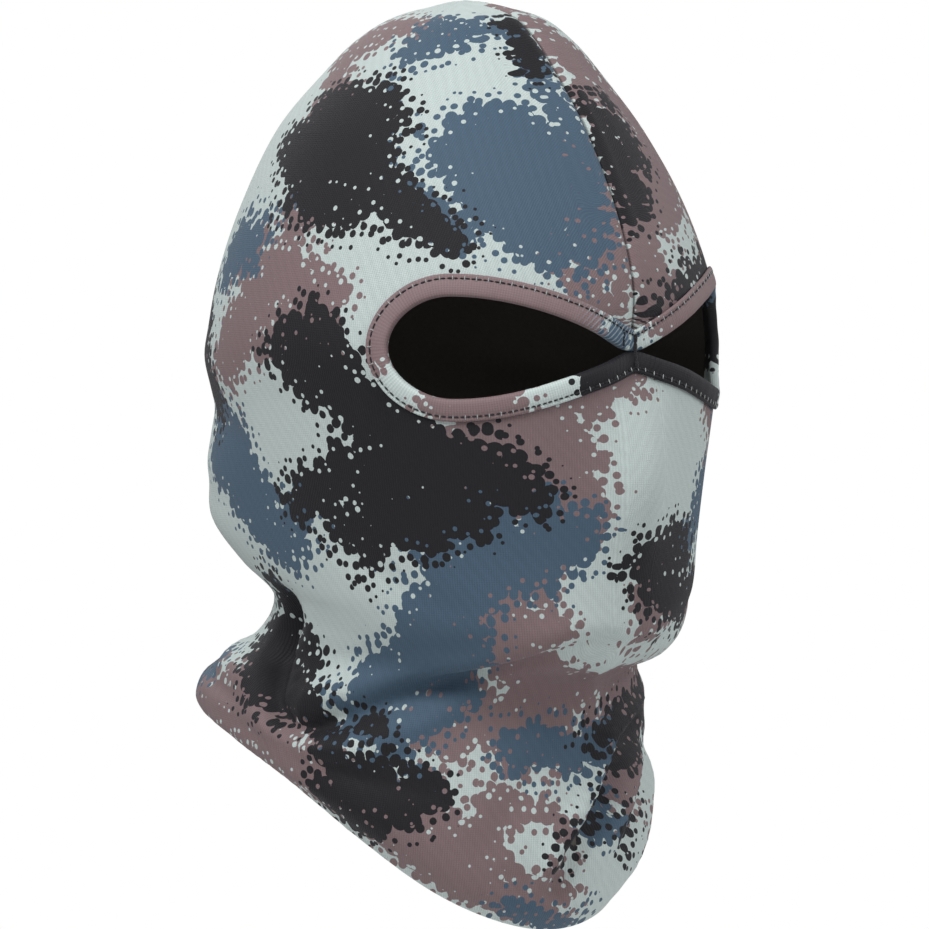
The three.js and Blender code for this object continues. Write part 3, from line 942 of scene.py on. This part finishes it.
def newPiece(name, points, faces, materials):
    mesh = bpy.data.meshes.new(name)
    mesh.from_pydata([tuple(p) for p in np.asarray(points) * toMetres], [], faces)
    for material in materials:
        mesh.materials.append(material)
    mesh.polygons.foreach_set("use_smooth", [True] * len(mesh.polygons))
    piece = bpy.data.objects.new(name, mesh)
    bpy.context.collection.objects.link(piece)
    return piece


def tubeFaces(rings, sides, closed):
    faces = []
    for i in range(rings if closed else rings - 1):
        after = (i + 1) % rings
        for j in range(sides):
            k = (j + 1) % sides
            faces.append((i * sides + j, i * sides + k, after * sides + k, after * sides + j))
    return faces


def cornerPoints(mesh):
    # the point that each face corner stands on
    corner = np.empty(len(mesh.loops), dtype=np.int32)
    mesh.loops.foreach_get("vertex_index", corner)
    return corner


def keepField(mesh, name, domain, values):
    attribute = mesh.attributes.new(name, "FLOAT", domain)
    attribute.data.foreach_set("value", values.astype(np.float32))


def keepPattern(mesh, place):
    # flat places in mm, one for each face corner
    layer = mesh.uv_layers.new(name="flatPattern")
    layer.data.foreach_set("uv", (place * toMetres).astype(np.float32).ravel())


def settled(piece, name):
    # the evaluated piece as a plain mesh with no modifiers
    bpy.context.view_layer.update()
    graph = bpy.context.evaluated_depsgraph_get()
    mesh = bpy.data.meshes.new_from_object(piece.evaluated_get(graph), depsgraph=graph)
    made = bpy.data.objects.new(name, mesh)
    bpy.context.collection.objects.link(made)
    bpy.data.objects.remove(piece)
    mesh.name = name
    made.name = name
    return made


def makeHood():
    countRows, countColumns = drop.shape
    # the hem: the cloth rolls under and runs up the inside
    down = unit(outer[-1] - outer[-3])
    roll = []
    for k in range(1, hood["hemSteps"] + 1):
        turn = math.pi * k / hood["hemSteps"]
        shift = away[-1] * (math.cos(turn) - 1) + down * math.sin(turn)
        roll.append(outer[-1] + hood["hemRoll"] * shift)
    lengths = lengthAlong(base[::-1, countColumns // 4])[1:]
    reaches = hood["hemDepth"] * np.arange(1, hood["hemRings"] + 1) / hood["hemRings"]
    back = np.unique(np.searchsorted(lengths, reaches) + 1)
    for step in back:
        roll.append(outer[-1 - step] - away[-1 - step] * 2 * hood["hemRoll"])
    grid = np.concatenate([outer, np.array(roll)])
    apex = onHood(0.0, 0.0)
    points = np.concatenate([grid.reshape(-1, 3), [apex]])
    top = len(points) - 1

    # the wall is left open inside the cut edge of the eye opening
    toRim = nearest(flatBase, openingLoop(600)[2])
    signed = np.where(openingInside(), -toRim, toRim).reshape(drop.shape)
    faces = []
    sides = []
    total = grid.shape[0]
    for i in range(total - 1):
        for j in range(countColumns):
            k = (j + 1) % countColumns
            if i < countRows - 1:
                middle = (signed[i, j] + signed[i + 1, j] + signed[i, k] + signed[i + 1, k]) / 4
                if middle < opening["rawEdge"]:
                    continue
            faces.append((i * countColumns + j, (i + 1) * countColumns + j,
                          (i + 1) * countColumns + k, i * countColumns + k))
            sides.append(1 if j < countColumns // 2 else -1)
    for j in range(countColumns):
        faces.append((top, j, (j + 1) % countColumns))
        sides.append(1 if j < countColumns // 2 else -1)
    piece = newPiece("hood_cloth", points, faces, [printedKnit, insideKnitPaintedShade])
    mesh = piece.data

    # flat places and print fields belong to face corners, because the print breaks at the seam
    extra = grid.shape[0] - countRows
    rolled = np.full(hood["hemSteps"], countRows - 1)
    rowOf = np.concatenate([np.arange(countRows), rolled, countRows - 1 - back])
    pointRow = np.concatenate([np.repeat(rows[rowOf], countColumns), [hood["apexRow"]]])
    pointAngle = np.concatenate([np.tile(angles, grid.shape[0]), [math.pi / 2]])
    flat = onPattern(pointAngle, pointRow)
    turned = np.concatenate([np.zeros(countRows), np.linspace(*hood["hemRun"], extra)])
    flat[:-1, 1] -= np.repeat(turned, countColumns)
    corner = cornerPoints(mesh)
    side = np.repeat(np.array(sides), [len(face) for face in faces])
    place = flat[corner]
    place[:, 0] *= side
    keepPattern(mesh, place)
    source = np.concatenate([(rowOf[:, None] * countColumns + np.arange(countColumns)).ravel(), [0]])
    for name, (right, left) in fields.items():
        values = np.where(side < 0, right[source[corner]], left[source[corner]])
        keepField(mesh, name + "_field", "CORNER", values)
    # distance from the seam, by which the knit's colour darkens along it: painted shade in the groove, with
    # the seam's dark line
    seamGap = np.where(seamed > 0.5, fromSeam, 20).ravel()
    keepField(mesh, "seam_gap", "POINT", np.append(seamGap[source[:-1]], 20.0))

    solid = piece.modifiers.new("cloth thickness", "SOLIDIFY")
    solid.thickness = hood["cloth"] * toMetres
    solid.offset = -1
    solid.use_quality_normals = True
    # the inner faces take the inside knit, whose dark colour is painted shade
    solid.material_offset = 1
    solid.material_offset_rim = 0
    return settled(piece, "hood_cloth")


def openingInside():
    # which grid places lie inside the eye opening
    arc = np.sign(angleGrid) * np.interp(np.abs(angleGrid), eyeAngles, eyeArcs)
    height = base[:, :, 2] - hood["cadFabric"]
    within = np.abs(height - openingMiddle(arc)) < halfOpening(arc)
    return (within & (np.abs(arc) < opening["reach"])).ravel()


hoodCloth = makeHood()
print("hood cloth made:", len(hoodCloth.data.polygons), "faces")


# The binding round the eyes

binding = {
    "width": 7.5,
    "cloth": 0.85,
    "gap": 0.35,  # from the hood's cloth to the binding over it
    "stations": 560,
    "stitchInset": 1.6,
    "puckerSpacing": 1.55,
    "puckerHeight": 0.16,
    "drawn": 0.85,  # how far the tack draws each strip across the bridge
    "drawnReach": 7.0,
    "pucker": 24.0,  # how far the gathering runs from the bridge
    "slack": 0.10,
    "slackWaves": (11.3, 29.0),
    "rib": 0.9,
    "course": 0.8,
    "crease": 1.75,
    "creaseColour": (0.36, 0.42, 0.46, 1),
}
bindingFace = binding["gap"] + binding["cloth"]  # height of the strip's face over the hood's


def bindingPath(across, off, count=None):
    # the opening's edge moved outwards over the cloth, then off its face
    arc, _, points, normals, _ = openingLoop(count or binding["stations"])
    along = unit(np.roll(points, -1, axis=0) - np.roll(points, 1, axis=0))
    aside = unit(np.cross(normals, along))
    # the tack draws the strip above the bridge down to the strip below it
    drawn = np.asarray(across) - binding["drawn"] * np.exp(-((arc / binding["drawnReach"]) ** 2))
    angle, row = placeOf(points + aside * drawn[..., None])
    return offFace(angle, row, off)


bindingPrint = {
    # shares of the way round the opening: 0 the wearer's right end, 0.25 the bridge above, 0.5 the wearer's
    # left end, 0.75 the bridge below. Where none of these lies the strip is pale.
    "mauve": [(-0.01, 0.212), (0.278, 0.455), (0.862, 0.945)],
    "blue": [(0.212, 0.252), (0.44, 0.50)],
    "dark": [(0.47, 0.53), (0.60, 0.818)],
}


def runField(share, length, runs):
    # distance in mm along the strip to the nearest run, less than 0 inside it
    total = np.full(len(share), 60.0)
    for low, high in runs:
        for turn in (-1, 0, 1):
            total = np.minimum(total, np.maximum(low - share + turn, share - high - turn) * length)
    return total


def makeBinding():
    arc, upper, _, _, length = openingLoop(binding["stations"])
    station = np.arange(binding["stations"]) * length / binding["stations"]
    # the section: over the face, round the fold and under, then back along the strip's other side
    face = bindingFace
    under = -hood["cloth"] - binding["gap"]
    width = binding["width"]
    outline = [
        (width - 0.05, binding["gap"] - 0.1), (width + 0.08, face - 0.45), (width - 0.12, face - 0.05),
        (width - 0.7, face + 0.1), (width - 1.6, face - 0.16), (width - 2.5, face + 0.18),
        (width * 0.5, face + 0.32), (width * 0.27, face + 0.3), (0.9, face + 0.12), (0.28, face - 0.28),
        (0.0, 0.25), (0.02, -0.7), (0.3, under - 0.45), (0.9, under - binding["cloth"]),
        (width * 0.5, under - binding["cloth"]), (width - 0.5, under - binding["cloth"]),
        (width, under - binding["cloth"] * 0.5), (width - 0.3, under),
        (width * 0.5, under), (binding["cloth"] + 0.4, under), (binding["cloth"], under + 0.5),
        (binding["cloth"], binding["gap"] - 0.4), (binding["cloth"] + 0.4, binding["gap"]),
        (width * 0.5, binding["gap"]),
    ]
    gather = np.exp(-(np.abs(arc) / binding["pucker"]) ** 2)
    ribs = binding["puckerHeight"] * gather * np.sin(2 * math.pi * station / binding["puckerSpacing"])
    short, long = (2 * math.pi * station / length for length in binding["slackWaves"])
    slack = binding["slack"] * np.sin(short) * np.sin(long + 1)
    rings = []
    for aside, off in outline:
        outerSide = 1.0 if off > 0.2 else 0.0
        rings.append(bindingPath(np.full(len(arc), aside), off + outerSide * (ribs + slack)))
    rings = np.array(rings)  # section, station, xyz
    sections, count = rings.shape[:2]
    points = rings.transpose(1, 0, 2).reshape(-1, 3)
    faces = tubeFaces(count, sections, True)
    piece = newPiece("eye_binding_strip", points, faces, [bindingKnit])
    mesh = piece.data
    corner = cornerPoints(mesh)
    alongOf = np.repeat(station, sections)
    aroundOf = np.tile(lengthAlong(np.array(outline)), count)
    # the last band of faces closes each ring, so its corners step on past the ends of the strip
    band = np.repeat(np.arange(len(faces)) // sections, 4)
    place = np.stack([alongOf[corner], aroundOf[corner]], -1)
    place[:, 0] += np.where((band == count - 1) & (place[:, 0] < 1), length, 0)
    keepPattern(mesh, place)
    kept = {"gather": gather, "stripes": gather * np.where(upper & (arc < 1.5), 1.0, 0.15)}
    for name, runs in bindingPrint.items():
        kept[name + "_run"] = runField(station / length, length, runs) + 1.5 * np.sin(station / 3.1)
    for name, values in kept.items():
        keepField(mesh, name, "POINT", np.repeat(values, sections))
    return piece


def bindingMaterial():
    material, sketch, shader, flat, colour = startKnit("binding_knit", "_run", (5, 41, 77))
    u = sketch.node("ShaderNodeSeparateXYZ", None, {"Vector": flat}, "X")
    v = u.beside("Y")
    # gathered cloth near the bridge shows slanting pale creases
    slant = sketch.wave(u + v * 0.45, binding["crease"])
    crease = sketch.between(slant, 0.35, 0.85) * sketch.between(sketch.field("stripes"), 0.22, 0.7) * 0.75
    colour = sketch.mixColour(crease, colour, binding["creaseColour"])
    rib = sketch.wave(u, binding["rib"])
    loop = sketch.wave(v + sketch.maths("ABSOLUTE", rib) * 0.3, binding["course"])
    fuzz = sketch.noise(flat, 1.7, 3.0, 0.65, "2D")
    # painted sheen: the base of 1.02, above the hood knit's 0.92, makes the whole binding lighter than the
    # hood
    shade = 1.02 + rib * 0.08 + loop * 0.03 + fuzz * 0.14
    height = rib * 0.4 + loop * 0.4 + fuzz * 0.8 + slant * sketch.field("gather") * 0.9
    finishKnit(sketch, shader, colour, shade, 0.55 + fuzz * 0.12, height)
    return material


def threadMaterial(name, dark, pale):
    # twisted thread: slanting plies along each stitch
    material, sketch, shader = newMaterial(name, {"Specular IOR Level": 0.35, "Sheen Weight": 0.15})
    place = sketch.node("ShaderNodeTexCoord", None, None, "Object")
    grain = sketch.noise(place, 1500.0, 2.0)
    ply = sketch.node("ShaderNodeTexWave", {"bands_direction": "DIAGONAL"}, {
        "Vector": place, "Scale": 700.0, "Distortion": 1.0,
    }, "Fac")
    colour = sketch.mixColour(grain * 0.6 + ply * 0.4, dark, pale)
    plug(sketch, colour, shader, "Base Color")
    plug(sketch, 0.5 + grain * 0.25, shader, "Roughness")
    plugBump(sketch, ply, shader, 0.5, 0.0001)
    return material


bindingKnit = bindingMaterial()
blackThread = threadMaterial("black_thread", (0.006, 0.006, 0.008, 1), (0.022, 0.022, 0.028, 1))
paleThread = threadMaterial("pale_thread", (0.36, 0.38, 0.38, 1), (0.62, 0.66, 0.66, 1))
innerThread = threadMaterial("inner_thread", (0.012, 0.012, 0.014, 1), (0.04, 0.04, 0.046, 1))
bindingStrip = makeBinding()
print("binding made:", len(bindingStrip.data.polygons), "faces")


# Stitches, laid along paths by geometry nodes

def stitchTree(name, material):
    # every edge of the guide mesh becomes one stitch, as long as the edge times a share
    tree = bpy.data.node_groups.new(name, "GeometryNodeTree")
    face = tree.interface
    face.new_socket("Geometry", in_out="INPUT", socket_type="NodeSocketGeometry")
    for label, value in (("Thickness", 0.0006), ("Length share", 0.8), ("Wobble", 0.0)):
        socket = face.new_socket(label, in_out="INPUT", socket_type="NodeSocketFloat")
        socket.default_value = value
    face.new_socket("Seed", in_out="INPUT", socket_type="NodeSocketInt")
    face.new_socket("Geometry", in_out="OUTPUT", socket_type="NodeSocketGeometry")
    sketch = Sketch(tree)
    given = sketch.node("NodeGroupInput", None, None, "Geometry")
    first = sketch.node("GeometryNodeInputMeshEdgeVertices", None, None, "Position 1")
    subtract = {"operation": "SUBTRACT"}
    run = sketch.node("ShaderNodeVectorMath", subtract, {0: first.beside("Position 2"), 1: first})
    length = sketch.node("ShaderNodeVectorMath", {"operation": "LENGTH"}, {0: run}, "Value")
    normal = sketch.node("GeometryNodeInputNamedAttribute", {"data_type": "FLOAT_VECTOR"}, {"Name": "away"})
    turn = sketch.node("FunctionNodeAxesToRotation", {"primary_axis": "X", "secondary_axis": "Z"},
                       {0: run, 1: normal})
    chance = sketch.node("FunctionNodeRandomValue", {"data_type": "FLOAT"},
                         {"Min": -1.0, "Max": 1.0, "Seed": given.beside("Seed")}, "Value")
    # keep the random value's float output
    chance = Wire(sketch, [s for s in chance.socket.node.outputs if s.type == "VALUE"][0])
    bead = sketch.node("GeometryNodeMeshUVSphere", None, {"Segments": 8, "Rings": 6, "Radius": 0.5}, "Mesh")
    captured = []
    source = given
    for kind, value in (("FLOAT", length), ("ROTATION", turn)):
        node = tree.nodes.new("GeometryNodeCaptureAttribute")
        node.domain = "EDGE"
        node.capture_items.new(kind, "Kept")
        tree.links.new(source.socket, node.inputs[0])
        tree.links.new(value.socket, node.inputs[1])
        source = Wire(sketch, node.outputs[0])
        captured.append(Wire(sketch, node.outputs[1]))
    points = sketch.node("GeometryNodeMeshToPoints", {"mode": "EDGES"}, {"Mesh": source})
    stretchBy = captured[0] * given.beside("Length share") * (1 + chance * given.beside("Wobble"))
    thickness = given.beside("Thickness")
    size = sketch.node("ShaderNodeCombineXYZ", None, {0: stretchBy, 1: thickness, 2: thickness})
    laid = sketch.node("GeometryNodeInstanceOnPoints", None, {
        "Points": points, "Instance": bead, "Rotation": captured[1], "Scale": size,
    })
    real = sketch.node("GeometryNodeRealizeInstances", None, {0: laid})
    smooth = sketch.node("GeometryNodeSetShadeSmooth", None, {0: real})
    dyed = sketch.node("GeometryNodeSetMaterial", None, {"Geometry": smooth, "Material": material})
    out = tree.nodes.new("NodeGroupOutput")
    tree.links.new(dyed.socket, out.inputs["Geometry"])
    return tree


blackStitches = stitchTree("black stitches", blackThread)
innerStitches = stitchTree("inner stitches", innerThread)
paleStitches = stitchTree("pale stitches", paleThread)


def laidStitches(name, lines, tree, values):
    # lines are (points, normals, closed); each step of a line is one stitch
    points = []
    normals = []
    edges = []
    for line, upright, closed in lines:
        start = len(points)
        points += list(line)
        normals += list(upright)
        count = len(line)
        for k in range(count if closed else count - 1):
            edges.append((start + k, start + (k + 1) % count))
    mesh = bpy.data.meshes.new(name + "_guide")
    mesh.from_pydata([tuple(p) for p in np.array(points) * toMetres], edges, [])
    attribute = mesh.attributes.new("away", "FLOAT_VECTOR", "POINT")
    attribute.data.foreach_set("vector", np.array(normals, dtype=np.float32).ravel())
    guide = bpy.data.objects.new(name + "_guide", mesh)
    bpy.context.collection.objects.link(guide)
    modifier = guide.modifiers.new("stitches", "NODES")
    modifier.node_group = tree
    for socket in tree.interface.items_tree:
        if socket.in_out == "INPUT" and socket.name in values:
            modifier[socket.identifier] = values[socket.name]
    return settled(guide, name)


def pairsOf(starts, ends, normals):
    return [(np.array([a, b]), np.array([n, n]), False) for a, b, n in zip(starts, ends, normals)]


stitching = {
    "topstitch": {"Thickness": 0.00062, "Length share": 0.8, "Wobble": 0.08, "Seed": 3},
    "tack": {"Thickness": 0.00072, "Length share": 1.12, "Wobble": 0.06, "Seed": 5},
    "join": {"Thickness": 0.00085, "Length share": 1.1, "Wobble": 0.06, "Seed": 7},
    "overlock": {"Thickness": 0.00045, "Length share": 1.05, "Wobble": 0.05, "Seed": 9},
    "hem": {"Thickness": 0.0005, "Length share": 0.82, "Wobble": 0.08, "Seed": 11},
    "topstitchPitch": 1.95,
    "paleTicks": {"Thickness": 0.00034, "Length share": 1.0, "Wobble": 0.12, "Seed": 13},
    "paleTickPitch": 3.9,
    "hemPitch": 3.6,
    "overlockPitch": 2.4,
    "topstitchLift": 0.1,
    "paleTickReach": (-0.75, 1.0),  # each pale tick's ends, across the topstitch
    "paleTickLift": 0.22,
    "tackReach": 5.2,  # the tack's half length beyond the gap at the bridge
    "tackLift": 0.25,
    "tackBars": ((-0.42, 0.1), (0.0, 0.22), (0.42, 0.1)),  # each bar's place across the bridge and height
    "zigzag": 0.55,  # half the width of the thread wound over the bars
    "zigzagLift": 0.32,
    "joinAside": 5.5,
    "joinRun": (0.3, 5.4),
    "joinLift": 0.3,
    "overlockTop": 1.12,
    "overlockSides": (-1.3, 2.45),
    "overlockEdge": 1.55,
}
stitchLine = binding["width"] - binding["stitchInset"]
allowanceDepth = hood["cloth"] + hood["allowanceGap"]
hemTop = 1 - hood["hemDepth"] / (hood["drop"] * hood["hemRate"])  # about the row of the turned hem's edge
alongX = np.array([1.0, 0, 0])


def makeTopstitch():
    count = int(openingLoop(200)[4] / stitching["topstitchPitch"])
    inset = np.full(count, stitchLine)
    face = bindingFace + stitching["topstitchLift"]
    line = bindingPath(inset, face, count)
    normals = unit(bindingPath(inset, face + 2, count) - line)
    return laidStitches("topstitch_thread", [(line, normals, True)], blackStitches, stitching["topstitch"])


def makePaleTicks():
    # pale ticks that cross the topstitch, drawn as short pale threads
    count = int(openingLoop(200)[4] / stitching["paleTickPitch"])
    face = bindingFace + stitching["paleTickLift"]
    reaches = stitching["paleTickReach"]
    starts, ends = (bindingPath(np.full(count, stitchLine + reach), face, count) for reach in reaches)
    normals = unit(bindingPath(np.full(count, stitchLine), face + 2, count) - starts)
    return laidStitches("topstitch_pale_ticks", pairsOf(starts, ends, normals), paleStitches, stitching["paleTicks"])


def barPoint(aside, high, off):
    angle = angleAt(np.asarray(aside, float))
    row = rowAt(angle, -opening["line"] + high + hood["cadFabric"])
    return offFace(angle, row, off), outward(angle, row)


def makeTack():
    # three bars across the bridge, and a thread wound over them
    reach = opening["bridgeGap"] / 2 + stitching["tackReach"]
    face = bindingFace + stitching["tackLift"]
    lines = []
    high = np.linspace(-reach, reach, 5)
    for aside, off in stitching["tackBars"]:
        points, normals = barPoint(aside + 0.08 * np.sin(high * 2.1 + aside), high, np.full(5, face + off))
        lines.append((points, normals, False))
    high = np.linspace(-reach, reach, 17)
    zigzag = np.where(np.arange(17) % 2 == 0, -stitching["zigzag"], stitching["zigzag"])
    points, normals = barPoint(zigzag, high, np.full(17, face + stitching["zigzagLift"]))
    lines.append((points, normals, False))
    return laidStitches("bridge_tack_thread", lines, blackStitches, stitching["tack"])


def makeJoinStitch():
    aside = stitching["joinAside"]
    low, top = (float(halfOpening(np.array(aside))) + run for run in stitching["joinRun"])
    face = bindingFace + stitching["joinLift"]
    points, normals = barPoint(np.full(5, -aside), np.linspace(low, top, 5), np.full(5, face))
    return laidStitches("binding_join_thread", [(points, normals, False)], blackStitches, stitching["join"])


def seamPath(pitch):
    # the inside of the crown seam, from above the bridge over the crown to the hem
    height = -opening["line"] + hood["allowanceFrom"] + hood["cadFabric"]
    fine = np.linspace(2 * hood["apexRow"], 1, 1500)
    frontRows = fine[fine < float(rowAt(np.array(0.0), height))][::-1]
    backRows = fine[fine < hemTop - 0.02]
    angle = np.concatenate([np.zeros(len(frontRows)), np.full(len(backRows), math.pi)])
    row = np.concatenate([frontRows, backRows])
    points = onHood(angle, row)
    length = lengthAlong(points)
    even = np.linspace(0, length[-1], int(length[-1] / pitch))
    return atLengths(even, length, points), unit(atLengths(even, length, outward(angle, row)))


def makeSeamAllowance():
    # the two cut edges of the panel, folded flat inside the seam
    spots, upright = seamPath(2.2)
    outline = [(-2.5, 0.25), (-2.2, 0.0), (0, -0.02), (2.2, 0.0), (2.5, 0.25), (2.6, 0.65),
               (2.3, 0.95), (0, 1.0), (-2.3, 0.95), (-2.6, 0.65)]
    points = []
    for place, up in zip(spots, upright):
        for aside, below in outline:
            points.append(place + alongX * aside - up * (allowanceDepth + below))
    count = len(outline)
    faces = tubeFaces(len(spots), count, False)
    faces.append(tuple(range(count))[::-1])
    last = (len(spots) - 1) * count
    faces.append(tuple(last + j for j in range(count)))
    # the allowance takes the inside knit's painted shade
    return newPiece("crown_seam_allowance", points, faces, [insideKnitPaintedShade])


def makeOverlock():
    spots, upright = seamPath(stitching["overlockPitch"])
    top = spots - upright * (allowanceDepth + stitching["overlockTop"])
    left, right = (top + alongX * aside for aside in stitching["overlockSides"])
    lines = pairsOf(left[:-1], right[1:], -upright[:-1])
    lines += pairsOf(right[:-1], left[:-1], -upright[:-1])
    lines.append((top - alongX * stitching["overlockEdge"], -upright, False))
    return laidStitches("crown_overlock_thread", lines, innerStitches, stitching["overlock"])


def makeHemStitch():
    # on the turned hem's inner face, which follows the folds of the cloth
    ring = int(np.abs(rows - (hemTop + 0.025)).argmin())
    fine = np.linspace(0, 2 * math.pi, 1441)[:-1]
    order = np.argsort(angles % (2 * math.pi))
    liftAt = np.interp(fine, (angles % (2 * math.pi))[order], lift[ring][order], period=2 * math.pi)
    inside = -(2 * hood["hemRoll"] + 0.25)
    line = offFace(fine, np.full(len(fine), rows[ring]), inside + liftAt)
    length = lengthAlong(line, closed=True)
    count = int(length[-1] / stitching["hemPitch"])
    even = np.interp(np.arange(count) / count * length[-1], length, np.append(fine, 2 * math.pi))
    row = np.full(count, rows[ring])
    points = offFace(even, row, inside + np.interp(even, fine, liftAt, period=2 * math.pi))
    return laidStitches("hem_thread", [(points, -outward(even, row), True)], innerStitches, stitching["hem"])


topstitch = makeTopstitch()
paleTicks = makePaleTicks()
tack = makeTack()
joinStitch = makeJoinStitch()
seamAllowance = makeSeamAllowance()
overlock = makeOverlock()
hemStitch = makeHemStitch()
print("stitches laid")


# Every piece rides on the one body and stands for its CAD nodes; each is listed with the name of a finish
# slot
standsFor = [
    (hoodCloth, "printed_knit", ["hood_panel"]),
    (bindingStrip, "binding_knit", ["eye_binding"]),
    (topstitch, "black_thread", ["binding_topstitch"]),
    (paleTicks, "inner_thread", []),
    (tack, "black_thread", ["bridge_tack"]),
    (joinStitch, "black_thread", ["binding_join_stitch"]),
    (seamAllowance, "printed_knit", []),
    (overlock, "inner_thread", ["crown_seam_overlock"]),
    (hemStitch, "inner_thread", ["hem_stitch"]),
]
for piece, slotName, nodes in standsFor:
    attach(piece, "root")
    if nodes:
        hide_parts(*nodes)

print("pieces:", {piece.name: len(piece.data.polygons) for piece, _, _ in standsFor})
